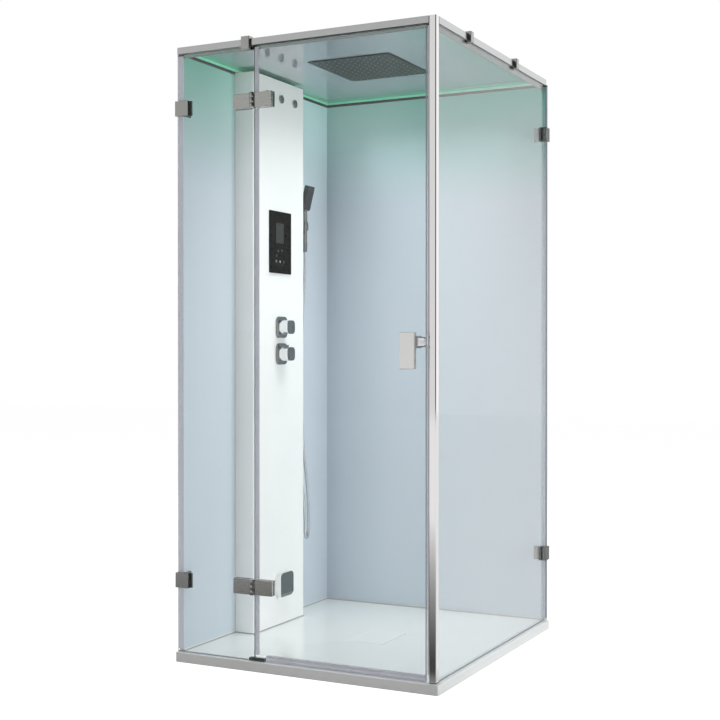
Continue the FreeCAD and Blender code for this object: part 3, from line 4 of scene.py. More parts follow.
import bmesh
import bpy
from mathutils import Matrix, Vector
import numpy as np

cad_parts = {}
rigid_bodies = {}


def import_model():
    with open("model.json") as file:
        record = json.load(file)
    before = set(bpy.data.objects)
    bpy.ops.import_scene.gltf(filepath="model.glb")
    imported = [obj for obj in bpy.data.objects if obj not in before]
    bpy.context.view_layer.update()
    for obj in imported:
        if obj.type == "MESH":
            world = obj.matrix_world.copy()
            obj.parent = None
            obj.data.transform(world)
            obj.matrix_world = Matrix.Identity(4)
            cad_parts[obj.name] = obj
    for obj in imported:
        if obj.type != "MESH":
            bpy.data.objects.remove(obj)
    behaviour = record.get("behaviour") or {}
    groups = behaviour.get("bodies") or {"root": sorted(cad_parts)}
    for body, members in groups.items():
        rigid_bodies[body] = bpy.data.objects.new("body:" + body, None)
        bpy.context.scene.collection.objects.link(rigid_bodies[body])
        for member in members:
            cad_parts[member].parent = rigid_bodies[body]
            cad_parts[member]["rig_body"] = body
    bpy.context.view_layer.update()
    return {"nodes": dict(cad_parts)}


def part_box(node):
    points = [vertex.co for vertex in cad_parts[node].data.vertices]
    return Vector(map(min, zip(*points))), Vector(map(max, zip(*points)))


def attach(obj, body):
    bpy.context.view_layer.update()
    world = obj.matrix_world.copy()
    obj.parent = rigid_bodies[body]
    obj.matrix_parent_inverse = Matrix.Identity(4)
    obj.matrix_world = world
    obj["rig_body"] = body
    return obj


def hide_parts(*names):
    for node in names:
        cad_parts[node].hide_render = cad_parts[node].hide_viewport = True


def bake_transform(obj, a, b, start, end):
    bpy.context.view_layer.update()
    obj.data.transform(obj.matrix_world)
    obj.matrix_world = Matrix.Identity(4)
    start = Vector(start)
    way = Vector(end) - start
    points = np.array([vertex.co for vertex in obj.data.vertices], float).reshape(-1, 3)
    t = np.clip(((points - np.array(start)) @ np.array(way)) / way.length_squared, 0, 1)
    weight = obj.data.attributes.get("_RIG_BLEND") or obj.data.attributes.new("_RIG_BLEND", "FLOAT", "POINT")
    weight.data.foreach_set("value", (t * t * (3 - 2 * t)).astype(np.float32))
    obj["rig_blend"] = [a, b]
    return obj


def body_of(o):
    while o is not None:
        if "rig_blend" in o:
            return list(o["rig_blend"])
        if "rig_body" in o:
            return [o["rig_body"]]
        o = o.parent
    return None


# Looks of the steam shower cabin. Metres, +Z up, +X to the right along the front,
# +Y to the back, as in the frame.

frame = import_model()
mm = 0.001
nodes_of_frame = frame["nodes"]
collection = bpy.context.scene.collection

# ------------------------------------------------------------------ camera

# Worked out from the cabin's own straight edges.
camera_lens = 63.6
camera_place = (2.0822, -4.2307, 1.0881)
camera_pitch_down = math.radians(0.401)
camera_turn = math.radians(26.785)

camera_data = bpy.data.cameras.new("camera")
camera_data.sensor_width = 36.0
camera_data.lens = camera_lens
camera = bpy.data.objects.new("camera", camera_data)
camera.location = camera_place
camera.rotation_euler = (math.radians(90.0) - camera_pitch_down, 0.0, camera_turn)
collection.objects.link(camera)
bpy.context.scene.camera = camera

# ------------------------------------------------------------- node helpers


def link_or_set(tree, target, value):
    if isinstance(value, bpy.types.NodeSocket):
        tree.links.new(value, target)
    else:
        target.default_value = value


def add_node(tree, kind, links=None, **settings):
    """A node with its settings; links is {input name or index: socket or value}."""
    node = tree.nodes.new(kind)
    for key, value in settings.items():
        setattr(node, key, value)
    for key, value in (links or {}).items():
        link_or_set(tree, node.inputs[key], value)
    return node


def add_math(tree, operation, first, second=0.0):
    return add_node(tree, "ShaderNodeMath", {0: first, 1: second}, operation=operation).outputs[0]


def add_range(tree, value, low, high, new_low, new_high):
    return add_node(tree, "ShaderNodeMapRange",
                    {"Value": value, "From Min": low, "From Max": high,
                     "To Min": new_low, "To Max": new_high}).outputs["Result"]


def add_noise(tree, vector, scale, detail=3.0, roughness=0.55):
    return add_node(tree, "ShaderNodeTexNoise",
                    {"Vector": vector, "Scale": scale, "Detail": detail,
                     "Roughness": roughness}).outputs[0]


def add_mix(tree, factor, first, second):
    """A colour mix; its colour sockets are inputs 6 and 7 and output 2."""
    return add_node(tree, "ShaderNodeMix", {0: factor, 6: first, 7: second},
                    data_type="RGBA").outputs[2]


def object_point(tree):
    return tree.nodes.new("ShaderNodeTexCoord").outputs["Object"]


def coordinate(tree, axis):
    """The piece's own X, Y or Z, in metres."""
    return add_node(tree, "ShaderNodeSeparateXYZ", {0: object_point(tree)}).outputs[axis]


def new_group(name, inputs, outputs):
    """A shader group; inputs are {name: (socket type, default)}, outputs {name: type}."""
    group = bpy.data.node_groups.new(name, "ShaderNodeTree")
    for socket_name, (kind, default) in inputs.items():
        socket = group.interface.new_socket(socket_name, in_out="INPUT", socket_type=kind)
        socket.default_value = default
    for socket_name, kind in outputs.items():
        group.interface.new_socket(socket_name, in_out="OUTPUT", socket_type=kind)
    group_in = group.nodes.new("NodeGroupInput")
    group_out = group.nodes.new("NodeGroupOutput")
    return group, group_in.outputs, group_out.inputs


# ------------------------------------------------------------ shader groups

number = "NodeSocketFloat"
color_socket = "NodeSocketColor"
vector_socket = "NodeSocketVector"
surface_outputs = {"Color": color_socket, "Roughness": number, "Height": number}


def make_mottle_group():
    """Slow changes of colour and gloss, with a fine grain, as on moulded and painted faces."""
    group, given, result = new_group("mottle", {
        "Color": (color_socket, (0.8, 0.8, 0.8, 1)),
        "Second Color": (color_socket, (0.75, 0.75, 0.75, 1)),
        "Patch Scale": (number, 3.0), "Grain Scale": (number, 900.0),
        "Smooth": (number, 0.1), "Rough": (number, 0.2)}, surface_outputs)
    point = object_point(group)
    share = add_range(group, add_noise(group, point, given["Patch Scale"], 4.0),
                      0.35, 0.65, 0.0, 1.0)
    group.links.new(add_mix(group, share, given["Color"], given["Second Color"]), result["Color"])
    smears = add_noise(group, point, add_math(group, "MULTIPLY", given["Patch Scale"], 4.0), 5.0)
    group.links.new(add_range(group, smears, 0.3, 0.7, given["Smooth"], given["Rough"]),
                    result["Roughness"])
    group.links.new(add_noise(group, point, given["Grain Scale"], 2.0), result["Height"])
    return group


def make_brushed_group():
    """Fine lines along one direction; Stretch is small along the lines and large across."""
    group, given, result = new_group("brushed", {
        "Color": (color_socket, (0.6, 0.6, 0.6, 1)),
        "Line Color": (color_socket, (0.5, 0.5, 0.5, 1)),
        "Stretch": (vector_socket, (20.0, 900.0, 900.0)),
        "Smooth": (number, 0.2), "Rough": (number, 0.35)}, surface_outputs)
    stretched = add_node(group, "ShaderNodeVectorMath",
                         {0: object_point(group), 1: given["Stretch"]}, operation="MULTIPLY")
    lines = add_noise(group, stretched.outputs[0], 1.0, 3.0, 0.7)
    share = add_range(group, lines, 0.3, 0.7, 0.0, 1.0)
    group.links.new(add_mix(group, share, given["Color"], given["Line Color"]), result["Color"])
    group.links.new(add_range(group, lines, 0.3, 0.7, given["Smooth"], given["Rough"]),
                    result["Roughness"])
    group.links.new(lines, result["Height"])
    return group


def make_painted_strip_light_group():
    """Painted light and shade: the strip lights' green and the rails' shade, painted on what is under the
    rails, fading downwards.
    """
    group, given, result = new_group("painted_strip_light", {
        "Color": (color_socket, (0.7, 0.75, 0.8, 1)),
        "Painted Light Color": (color_socket, (0.2, 0.5, 0.4, 1)),
        "Top": (number, 2.12), "Reach": (number, 0.45)}, {"Color": color_socket})
    below_top = add_math(group, "SUBTRACT", given["Top"], coordinate(group, "Z"))
    depth = add_math(group, "DIVIDE", below_top, given["Reach"])
    share = add_math(group, "POWER", add_range(group, depth, 0.0, 1.0, 1.0, 0.0), 1.1)
    group.links.new(add_mix(group, share, given["Color"], given["Painted Light Color"]), result["Color"])
    return group


def make_painted_light_edge_group():
    """1 on a level sheet's border and 0 past Reach inside it; it places the roof's painted light."""
    group, given, result = new_group("painted_light_edge", {
        "Left": (number, -0.48), "Right": (number, 0.47), "Front": (number, -0.52),
        "Back": (number, 0.53), "Reach": (number, 0.1)}, {"Nearness": number})
    place = add_node(group, "ShaderNodeSeparateXYZ", {0: object_point(group)}).outputs
    gaps = [add_math(group, "SUBTRACT", place["X"], given["Left"]),
            add_math(group, "SUBTRACT", given["Right"], place["X"]),
            add_math(group, "SUBTRACT", place["Y"], given["Front"]),
            add_math(group, "SUBTRACT", given["Back"], place["Y"])]
    nearest = gaps[0]
    for gap in gaps[1:]:
        nearest = add_math(group, "MINIMUM", nearest, gap)
    share = add_math(group, "DIVIDE", nearest, given["Reach"])
    group.links.new(add_math(group, "POWER", add_range(group, share, 0.0, 1.0, 1.0, 0.0), 2.0),
                    result["Nearness"])
    return group


def make_facing_group():
    """1 on faces that look along Direction, past the cosine Limit, and 0 elsewhere.

    The normal is the piece's own, so a turned door keeps its clear faces."""
    group, given, result = new_group("facing", {
        "Direction": (vector_socket, (1.0, 0.0, 0.0)), "Limit": (number, 0.7)},
        {"Mask": number})
    normal = group.nodes.new("ShaderNodeTexCoord").outputs["Normal"]
    along = add_node(group, "ShaderNodeVectorMath", {0: normal, 1: given["Direction"]},
                     operation="DOT_PRODUCT").outputs["Value"]
    group.links.new(add_math(group, "GREATER_THAN", add_math(group, "ABSOLUTE", along),
                             given["Limit"]), result["Mask"])
    return group


side_limit = 0.86

mottle = make_mottle_group()
brushed = make_brushed_group()
painted_strip_light = make_painted_strip_light_group()
painted_light_edge = make_painted_light_edge_group()
facing = make_facing_group()

# ---------------------------------------------------------- material builders


def new_material(name, **constants):
    """A material with its Principled shader's plain sockets set."""
    material = bpy.data.materials.new(name)
    material.use_nodes = True
    shader = material.node_tree.nodes["Principled BSDF"]
    for socket_name, value in constants.items():
        shader.inputs[socket_name.replace("_", " ")].default_value = value
    return material, material.node_tree, shader


def place_group(tree, group, values):
    node = tree.nodes.new("ShaderNodeGroup")
    node.node_tree = group
    for key, value in values.items():
        link_or_set(tree, node.inputs[key], value)
    return node.outputs


def side_faces(tree):
    """1 on the faces to the right and left."""
    return place_group(tree, facing, {"Direction": (1.0, 0.0, 0.0), "Limit": side_limit})["Mask"]


def shade(color, factor):
    return tuple(channel * factor for channel in color[:3]) + (1.0,)


def add_surface(tree, shader, surface, bump, color=None):
    tree.links.new(color or surface["Color"], shader.inputs["Base Color"])
    tree.links.new(surface["Roughness"], shader.inputs["Roughness"])
    if bump:
        relief = add_node(tree, "ShaderNodeBump", {"Height": surface["Height"],
                                                   "Strength": bump, "Distance": 0.0004})
        tree.links.new(relief.outputs["Normal"], shader.inputs["Normal"])


def mottle_surface(tree, color, smooth, rough, patch=3.0, grain=900.0, vary=0.97):
    return place_group(tree, mottle, {
        "Color": shade(color, 1.0), "Second Color": shade(color, vary), "Patch Scale": patch,
        "Grain Scale": grain, "Smooth": smooth, "Rough": rough})


def mottled(name, color, smooth, rough, patch=3.0, grain=900.0, bump=0.03, vary=0.97, **constants):
    """Moulded or painted face: near even, with faint patches and a fine grain."""
    material, tree, shader = new_material(name, **constants)
    add_surface(tree, shader, mottle_surface(tree, color, smooth, rough, patch, grain, vary), bump)
    return material


def brushed_surface(tree, color, stretch, smooth, rough, vary=0.86):
    return place_group(tree, brushed, {
        "Color": shade(color, 1.0), "Line Color": shade(color, vary), "Stretch": stretch,
        "Smooth": smooth, "Rough": rough})


def brushed_metal(name, color, stretch, smooth, rough, vary=0.86, bump=0.04, **constants):
    material, tree, shader = new_material(name, Metallic=1.0, **constants)
    add_surface(tree, shader, brushed_surface(tree, color, stretch, smooth, rough, vary), bump)
    return material


def painted_face_shading(name, color, painted_side_color, smooth=0.07, rough=0.12, metal=1.0,
             side=(1.0, 0.0, 0.0), limit=side_limit):
    """A finish with painted reflections: its faces along side, and against it, have a second colour that
    stands for the light and shade they mirror.
    """
    material, tree, shader = new_material(name, Metallic=metal)
    surface = brushed_surface(tree, color, lines_z, smooth, rough, 0.96)
    mask = place_group(tree, facing, {"Direction": side, "Limit": limit})["Mask"]
    color_now = add_mix(tree, mask, surface["Color"], shade(painted_side_color, 1.0))
    add_surface(tree, shader, surface, 0.01, color_now)
    return material


def hand_shower_finish(name, head_color, handle_color, head_bottom):
    """Dark head over a lighter handle."""
    material, tree, shader = new_material(name, Metallic=1.0)
    surface = brushed_surface(tree, head_color, lines_z, 0.14, 0.22, 0.94)
    handle = add_math(tree, "LESS_THAN", coordinate(tree, "Z"), head_bottom)
    add_surface(tree, shader, surface, 0.01,
                add_mix(tree, handle, surface["Color"], shade(handle_color, 1.0)))
    return material


def let_light_through(tree, shader, tint):
    """Shadow and diffuse rays pass straight through the glass, so the inside is lit."""
    light_path = tree.nodes.new("ShaderNodeLightPath")
    passes = add_math(tree, "MAXIMUM", light_path.outputs["Is Shadow Ray"],
                      light_path.outputs["Is Diffuse Ray"])
    clear = add_node(tree, "ShaderNodeBsdfTransparent", {"Color": tint})
    mix = add_node(tree, "ShaderNodeMixShader",
                   {0: passes, 1: shader.outputs[0], 2: clear.outputs[0]})
    tree.links.new(mix.outputs[0], tree.nodes["Material Output"].inputs["Surface"])


def clear_glass(name, across):
    """Float glass with ground, lilac-grey edges; across is the direction through the pane."""
    material, tree, shader = new_material(name, IOR=1.45, Transmission_Weight=1.0,
                                         Specular_Tint=(0.4, 0.4, 0.4, 1.0))
    on_face = place_group(tree, facing, {"Direction": across, "Limit": 0.5})["Mask"]
    color = add_mix(tree, on_face, (0.60, 0.62, 0.73, 1), (0.985, 1.0, 0.995, 1))
    tree.links.new(color, shader.inputs["Base Color"])
    tree.links.new(add_range(tree, on_face, 0.0, 1.0, 0.4, 0.0), shader.inputs["Roughness"])
    let_light_through(tree, shader, (0.985, 0.995, 0.99, 1))
    return material


# Where the painted light of the strip lights' green starts on the walls, how far down it
# reaches, and the stretch of X or Y over which it changes.
painted_light_top = 2.12
painted_light_reach = 0.44
painted_light_span = (-0.42, 0.45)


def painted_wall(name, color, axis, first_painted_light, last_painted_light):
    """Back-painted glass; under the rails, painted light and shade of the strip lights' green, changing
    along axis.
    """
    material, tree, shader = new_material(name, Specular_IOR_Level=0.25)
    surface = mottle_surface(tree, color, 0.30, 0.31, 1.2, 500.0, 0.995)
    share = add_range(tree, coordinate(tree, axis), *painted_light_span, 0.0, 1.0)
    painted_top_light = add_mix(tree, share, shade(first_painted_light, 1.0), shade(last_painted_light, 1.0))
    painted_glow = place_group(tree, painted_strip_light, {
        "Color": surface["Color"], "Painted Light Color": painted_top_light, "Top": painted_light_top, "Reach": painted_light_reach})
    add_surface(tree, shader, surface, 0.008, painted_glow["Color"])
    return material


def tray_finish(name, color, painted_front_shade):
    """White acrylic, with painted shade greying the faces to the front and back."""
    material, tree, shader = new_material(name, Coat_Weight=0.25)
    surface = mottle_surface(tree, color, 0.12, 0.18)
    mask = place_group(tree, facing, {"Direction": (0.0, 1.0, 0.0), "Limit": 0.8})["Mask"]
    add_surface(tree, shader, surface, 0.03,
                add_mix(tree, mask, surface["Color"], shade(painted_front_shade, 1.0)))
    return material


def seal_plastic(name, color, low, high, alpha_low, alpha_high):
    """Milky see-through profile, denser towards its foot."""
    material, tree, shader = new_material(name, IOR=1.45)
    surface = mottle_surface(tree, color, 0.2, 0.3, 9.0, 700.0, 0.95)
    alpha = add_range(tree, coordinate(tree, "Z"), low, high, alpha_low, alpha_high)
    tree.links.new(alpha, shader.inputs["Alpha"])
    add_surface(tree, shader, surface, 0.02)
    return material


def clamp_finish(name, left_color, painted_right_shade, painted_side_color):
    """Brushed nickel with painted light and shade: paler on the left wall's clamps, darker on the right
    ones, and dark on faces to the right and left.
    """
    material, tree, shader = new_material(name, Metallic=1.0)
    surface = brushed_surface(tree, left_color, lines_z, 0.2, 0.32, 0.94)
    right = add_math(tree, "GREATER_THAN", coordinate(tree, "X"), 0.0)
    color_now = add_mix(tree, right, surface["Color"], shade(painted_right_shade, 1.0))
    add_surface(tree, shader, surface, 0.01,
                add_mix(tree, side_faces(tree), color_now, shade(painted_side_color, 1.0)))
    return material


def trim_finish(name, color, painted_corner_shade, corner_from):
    """Satin trim, with painted shade darkening it in the right back corner."""
    material, tree, shader = new_material(name)
    surface = brushed_surface(tree, color, lines_z, 0.25, 0.35, 0.96)
    corner = add_math(tree, "GREATER_THAN", coordinate(tree, "X"), corner_from)
    add_surface(tree, shader, surface, 0.01,
                add_mix(tree, corner, surface["Color"], shade(painted_corner_shade, 1.0)))
    return material


def rail_finish(name, color, painted_side_color, painted_lip_shade, lip_top):
    """Satin rail with painted light and shade: paler on its right side, and its lips and underside painted
    dark, as shade in the cabin's light.
    """
    material, tree, shader = new_material(name, Metallic=1.0)
    surface = brushed_surface(tree, color, (60.0, 60.0, 1400.0), 0.16, 0.24, 0.95)
    color_now = add_mix(tree, side_faces(tree), surface["Color"], shade(painted_side_color, 1.0))
    under = add_math(tree, "LESS_THAN", coordinate(tree, "Z"), lip_top)
    add_surface(tree, shader, surface, 0.04,
                add_mix(tree, under, color_now, shade(painted_lip_shade, 1.0)))
    return material


# ---------------------------------------------------------- finish of each node

lines_x = (25.0, 1400.0, 1400.0)
lines_y = (1400.0, 25.0, 1400.0)
lines_z = (1400.0, 1400.0, 25.0)
nickel = (0.50, 0.50, 0.48)
# painted shade: the right wall's clamps are darker
painted_shade_nickel = (0.19, 0.19, 0.185)
white_acrylic = (0.765, 0.79, 0.785)
wall_blue = (0.545, 0.61, 0.675)
head_bottom = 1.652
rail_lip_top = 2.1268

finishes = {
    # the tray's front and back faces carry painted shade
    "tray": tray_finish("white acrylic", white_acrylic, (0.61, 0.605, 0.60)),
    "drain_cover": mottled("white acrylic cover", (0.78, 0.805, 0.80), 0.14, 0.2,
                           Coat_Weight=0.25),
    "waste_flange": brushed_metal("waste steel", (0.62, 0.62, 0.61), lines_x, 0.25, 0.4),
    # the walls carry painted light and shade: the strip lights' green under the rails
    "left_wall_panel": painted_wall("pale blue-grey paint", wall_blue, "Y",
                                    (0.27, 0.56, 0.47), (0.68, 0.91, 0.92)),
    "back_wall_panel": painted_wall("pale blue-grey back paint", wall_blue, "X",
                                    (0.57, 0.80, 0.75), (0.09, 0.44, 0.36)),
    "wall_boards": mottled("grey backing board", (0.50, 0.52, 0.54), 0.6, 0.8, grain=300.0,
                           bump=0.15, vary=0.9),
    # the trims carry painted shade in the right back corner
    "wall_edge_trims": trim_finish("lilac-grey edge trim", (0.66, 0.66, 0.75),
                                   (0.20, 0.20, 0.245), 0.3),
    "rubber_gaskets": mottled("dark rubber", (0.09, 0.10, 0.10), 0.6, 0.75, grain=1500.0,
                              bump=0.1, vary=0.8),
    "front_fixed_glass": clear_glass("clear front glass", (0.0, 1.0, 0.0)),
    "right_fixed_glass": clear_glass("clear side glass", (1.0, 0.0, 0.0)),
    "glass_foot_seals": mottled("grey foot seal", (0.30, 0.31, 0.34), 0.3, 0.45),
    "door_seals": seal_plastic("milky door seal", (0.62, 0.61, 0.68), 0.035, 0.062, 0.75, 0.2),
    "corner_post": brushed_metal("polished post", (0.91, 0.90, 0.895), lines_z, 0.04, 0.07,
                                 vary=0.97, bump=0.01),
    "corner_post_foot": mottled("dark plastic", (0.05, 0.05, 0.055), 0.35, 0.5),
    # the rails carry painted light on their right side and painted shade on lips and underside
    "top_rails": rail_finish("satin rail", (0.59, 0.60, 0.595), (0.62, 0.63, 0.635),
                             (0.20, 0.23, 0.22), rail_lip_top),
    "rain_head_body": brushed_metal("rain head steel", (0.45, 0.45, 0.45), lines_x, 0.3, 0.45),
    "rain_head_plate": brushed_metal("dark rain plate", (0.050, 0.046, 0.042), lines_x, 0.3, 0.45),
    "rain_nozzle_mat": mottled("nozzle silicone", (0.42, 0.43, 0.40), 0.45, 0.6),
    "rail_clips": brushed_metal("brushed nickel clip", nickel, lines_z, 0.2, 0.32),
    "hinge_fixed_leaves": brushed_metal("brushed nickel plate", nickel, lines_x, 0.2, 0.32),
    # the outer clamps carry painted light and shade
    "wall_clamp_outer": clamp_finish("nickel clamp", (0.43, 0.43, 0.415), painted_shade_nickel,
                                     (0.10, 0.105, 0.10)),
    # painted light and shade on the inner plates: dark, with faces to the right and left a little lighter
    "inner_clamp_plates": painted_face_shading("nickel inner plate", (0.20, 0.20, 0.195), (0.26, 0.26, 0.25),
                                   0.2, 0.32),
    "floor_clamp": brushed_metal("dark nickel", (0.17, 0.17, 0.165), lines_x, 0.25, 0.35),
    "clamp_screws": brushed_metal("screw steel", (0.55, 0.55, 0.54), lines_y, 0.2, 0.3),
    "post_magnet_strip": mottled("grey magnet strip", (0.60, 0.60, 0.63), 0.4, 0.55),
    "column_shell": mottled("white column", (0.86, 0.865, 0.86), 0.14, 0.2, Coat_Weight=0.15),
    "column_back_plate": mottled("white back plate", (0.7, 0.7, 0.7), 0.4, 0.5),
    "control_glass": mottled("black printed glass", (0.003, 0.004, 0.003), 0.26, 0.28,
                             Specular_IOR_Level=0.0),
    "control_display": mottled("display", (0.042, 0.048, 0.047), 0.26, 0.28,
                               Specular_IOR_Level=0.0),
    "control_box": mottled("black housing", (0.03, 0.03, 0.03), 0.45, 0.6),
    "jet_flanges": brushed_metal("jet chrome", (0.36, 0.36, 0.36), lines_y, 0.08, 0.14,
                                 vary=0.97, bump=0.01),
    "jet_nozzle_left": mottled("dark jet plastic", (0.16, 0.165, 0.165), 0.3, 0.45),
    "overhead_pipe": brushed_metal("polished chrome", (0.74, 0.74, 0.74), lines_y, 0.07, 0.13,
                                   vary=0.97, bump=0.01),
    # painted reflection: dark faces to the right and left on the knobs
    "diverter_knob": painted_face_shading("mixer chrome", (0.80, 0.81, 0.81), (0.19, 0.21, 0.20)),
    "mixer_escutcheons": brushed_metal("dark mixer chrome", (0.24, 0.25, 0.25), lines_y,
                                       0.05, 0.09, vary=0.9, bump=0.01),
    # painted reflection: dark faces to the right and left on the hood
    "steam_outlet_hood": painted_face_shading("hood chrome", (0.85, 0.86, 0.86), (0.22, 0.24, 0.23)),
    "steam_outlet_base": mottled("white hood base", (0.88, 0.885, 0.88), 0.12, 0.2,
                                 Coat_Weight=0.3),
    "stop_button": brushed_metal("dark button chrome", (0.22, 0.23, 0.23), lines_z, 0.1, 0.16),
    "mixer_valve": mottled("cast brass", (0.52, 0.36, 0.14), 0.35, 0.5, Metallic=1.0),
    "steam_generator": mottled("grey generator enamel", (0.42, 0.43, 0.44), 0.35, 0.5),
    "cable_gland": mottled("black nylon", (0.03, 0.03, 0.03), 0.5, 0.65),
    "supply_pipes": mottled("drawn copper", (0.60, 0.30, 0.17), 0.25, 0.4, Metallic=1.0),
    "hand_shower": hand_shower_finish("hand shower chrome", (0.13, 0.13, 0.13),
                                      (0.24, 0.25, 0.24), head_bottom),
    "hose_nut": brushed_metal("dark chrome", (0.22, 0.22, 0.225), lines_z, 0.14, 0.22,
                              vary=0.94, bump=0.01),
    "hand_nozzle_face": mottled("black nozzle face", (0.03, 0.03, 0.033), 0.35, 0.5),
    "shower_holder": brushed_metal("holder chrome", (0.25, 0.25, 0.255), lines_z, 0.12, 0.2),
    "shower_hose": brushed_metal("hose steel", (0.66, 0.68, 0.70), lines_x, 0.16, 0.26),
    # painted reflection: dark top and bottom bands on the round chrome
    "handle_standoff": painted_face_shading("bright chrome", (0.95, 0.95, 0.96), (0.12, 0.12, 0.13),
                                0.05, 0.1, 0.45, (0.0, 0.0, 1.0), 0.62),
    "handle_plate": brushed_metal("satin handle", (0.86, 0.855, 0.85), lines_z, 0.2, 0.28,
                                  vary=0.95, bump=0.02),
}
same_finish = {
    "door_glass": "front_fixed_glass",
    "hinge_door_plates": "hinge_fixed_leaves",
    "hinge_pins": "overhead_pipe", "door_screws": "clamp_screws",
    "jet_nozzle_middle": "jet_nozzle_left", "jet_nozzle_right": "jet_nozzle_left",
    "temperature_knob": "diverter_knob", "hose_outlet": "overhead_pipe",
    "handle_inner_knob": "handle_standoff",
}


def make_strip_light():
    material, tree, shader = new_material("green strip light", Emission_Strength=0.35)
    surface = mottle_surface(tree, (0.20, 0.58, 0.40), 0.3, 0.4, 12.0, 400.0, 0.9)
    add_surface(tree, shader, surface, 0.0)
    tree.links.new(surface["Color"], shader.inputs["Emission Color"])
    return material


def make_roof_finish():
    """Glossy grey sheet, with the strip lights' green painted on as light beside them."""
    material, tree, shader = new_material("glossy roof", IOR=1.6, Coat_Weight=0.6)
    surface = mottle_surface(tree, (0.36, 0.385, 0.43), 0.02, 0.035, 1.5, 300.0, 0.95)
    near = place_group(tree, painted_light_edge, {"Left": -0.475, "Right": 0.468, "Front": -0.80,
                                         "Back": 0.535, "Reach": 0.27})["Nearness"]
    rightness = add_range(tree, coordinate(tree, "X"), 0.0, 0.45, 0.0, 1.0)
    # painted light: the strip lights' green near the roof's edges, changing from left to right
    painted_glow = add_mix(tree, rightness, (0.17, 0.44, 0.33, 1), (0.04, 0.34, 0.23, 1))
    add_surface(tree, shader, surface, 0.0, add_mix(tree, near, surface["Color"], painted_glow))
    return material


finishes["led_strips"] = make_strip_light()
finishes["roof_panel"] = make_roof_finish()
for node_name, like in same_finish.items():
    finishes[node_name] = finishes[like]

for node_name, node_object in nodes_of_frame.items():
    node_object.data.materials.clear()
    node_object.data.materials.append(finishes[node_name])

# ---------------------------------------------------------- geometry helpers


def new_geometry_tree(name, inputs):
    """A geometry tree with a Geometry input and output; inputs are {name: (type, default)}."""
    tree = bpy.data.node_groups.new(name, "GeometryNodeTree")
    tree.interface.new_socket("Geometry", in_out="INPUT", socket_type="NodeSocketGeometry")
    for socket_name, (kind, default) in inputs.items():
        socket = tree.interface.new_socket(socket_name, in_out="INPUT", socket_type=kind)
        if default is not None:
            socket.default_value = default
    tree.interface.new_socket("Geometry", in_out="OUTPUT", socket_type="NodeSocketGeometry")
    return tree, tree.nodes.new("NodeGroupInput").outputs, tree.nodes.new("NodeGroupOutput").inputs


def finish_tree(tree, geometry, material, result):
    """Realize Instances and Set Material, at the end of every geometry tree."""
    real = add_node(tree, "GeometryNodeRealizeInstances", {"Geometry": geometry})
    painted = add_node(tree, "GeometryNodeSetMaterial",
                       {"Geometry": real.outputs[0], "Material": material})
    tree.links.new(painted.outputs[0], result["Geometry"])


def plain_mesh(name, source):
    """What the modifiers of source make, as a new object with a plain mesh."""
    bpy.context.view_layer.update()
    evaluated = source.evaluated_get(bpy.context.evaluated_depsgraph_get())
    mesh = bpy.data.meshes.new_from_object(evaluated)
    mesh.name = name
    result = bpy.data.objects.new(name, mesh)
    collection.objects.link(result)
    bpy.data.objects.remove(source, do_unlink=True)
    return result


def grow(name, source, tree, values):
    """Run a geometry tree on source and keep its result as a plain mesh."""
    modifier = source.modifiers.new(tree.name, "NODES")
    modifier.node_group = tree
    for item in tree.interface.items_tree:
        if item.in_out == "INPUT" and item.name in values:
            modifier[item.identifier] = values[item.name]
    return plain_mesh(name, source)


def object_of_points(name, points):
    mesh = bpy.data.meshes.new(name)
    mesh.from_pydata([tuple(point) for point in points], [], [])
    source = bpy.data.objects.new(name, mesh)
    collection.objects.link(source)
    return source


def object_from_bmesh(name, bm, node_name):
    """A new piece with the finish of a node."""
    bmesh.ops.recalc_face_normals(bm, faces=bm.faces)
    mesh = bpy.data.meshes.new(name)
    bm.to_mesh(mesh)
    bm.free()
    mesh.materials.append(finishes[node_name])
    piece = bpy.data.objects.new(name, mesh)
    collection.objects.link(piece)
    return piece


def body_of_node(node_name):
    return body_of(nodes_of_frame[node_name])[0]


def add_block(bm, low, high):
    """A block between two corners, in metres."""
    low = Vector(low)
    high = Vector(high)
    place = Matrix.Translation((low + high) / 2) @ Matrix.Diagonal((*(high - low), 1.0))
    return bmesh.ops.create_cube(bm, size=1.0, matrix=place)["verts"]


# --------------------------------------------------------------------- hose

# The route of the hand shower's hose, from its nut down and round to the outlet.
hose_route = [
    (-0.4215, 0.2400, 1.4867), (-0.4215, 0.2400, 1.4000), (-0.4320, 0.2420, 1.2700),
    (-0.4410, 0.2460, 1.1100), (-0.4450, 0.2510, 0.9400), (-0.4460, 0.2590, 0.7900),
    (-0.4450, 0.2730, 0.6600), (-0.4410, 0.2920, 0.5500), (-0.4430, 0.3080, 0.4500),
    (-0.4470, 0.3170, 0.3550), (-0.4305, 0.2720, 0.3270), (-0.4140, 0.2270, 0.3500),
    (-0.4140, 0.2255, 0.4400), (-0.4240, 0.2235, 0.5450), (-0.4400, 0.2220, 0.6250),
    (-0.4400, 0.2220, 0.6720),
]
hose_diameter = 12 * mm
hose_rib_pitch = 3.2 * mm
hose_rib_depth = 0.14


def make_hose_curve():
    curve = bpy.data.curves.new("hose_route", "CURVE")
    curve.dimensions = "3D"
    spline = curve.splines.new("NURBS")
    spline.points.add(len(hose_route) - 1)
    for point, place in zip(spline.points, hose_route):
        point.co = (*place, 1.0)
    spline.order_u = 3
    spline.use_endpoint_u = True
    spline.resolution_u = 24
    route = bpy.data.objects.new("hose_route", curve)
    collection.objects.link(route)
    return route


def points_along(route):
    bpy.context.view_layer.update()
    evaluated = route.evaluated_get(bpy.context.evaluated_depsgraph_get())
    line = bpy.data.meshes.new_from_object(evaluated)
    points = [vertex.co.copy() for vertex in line.vertices]
    bpy.data.meshes.remove(line)
    return points


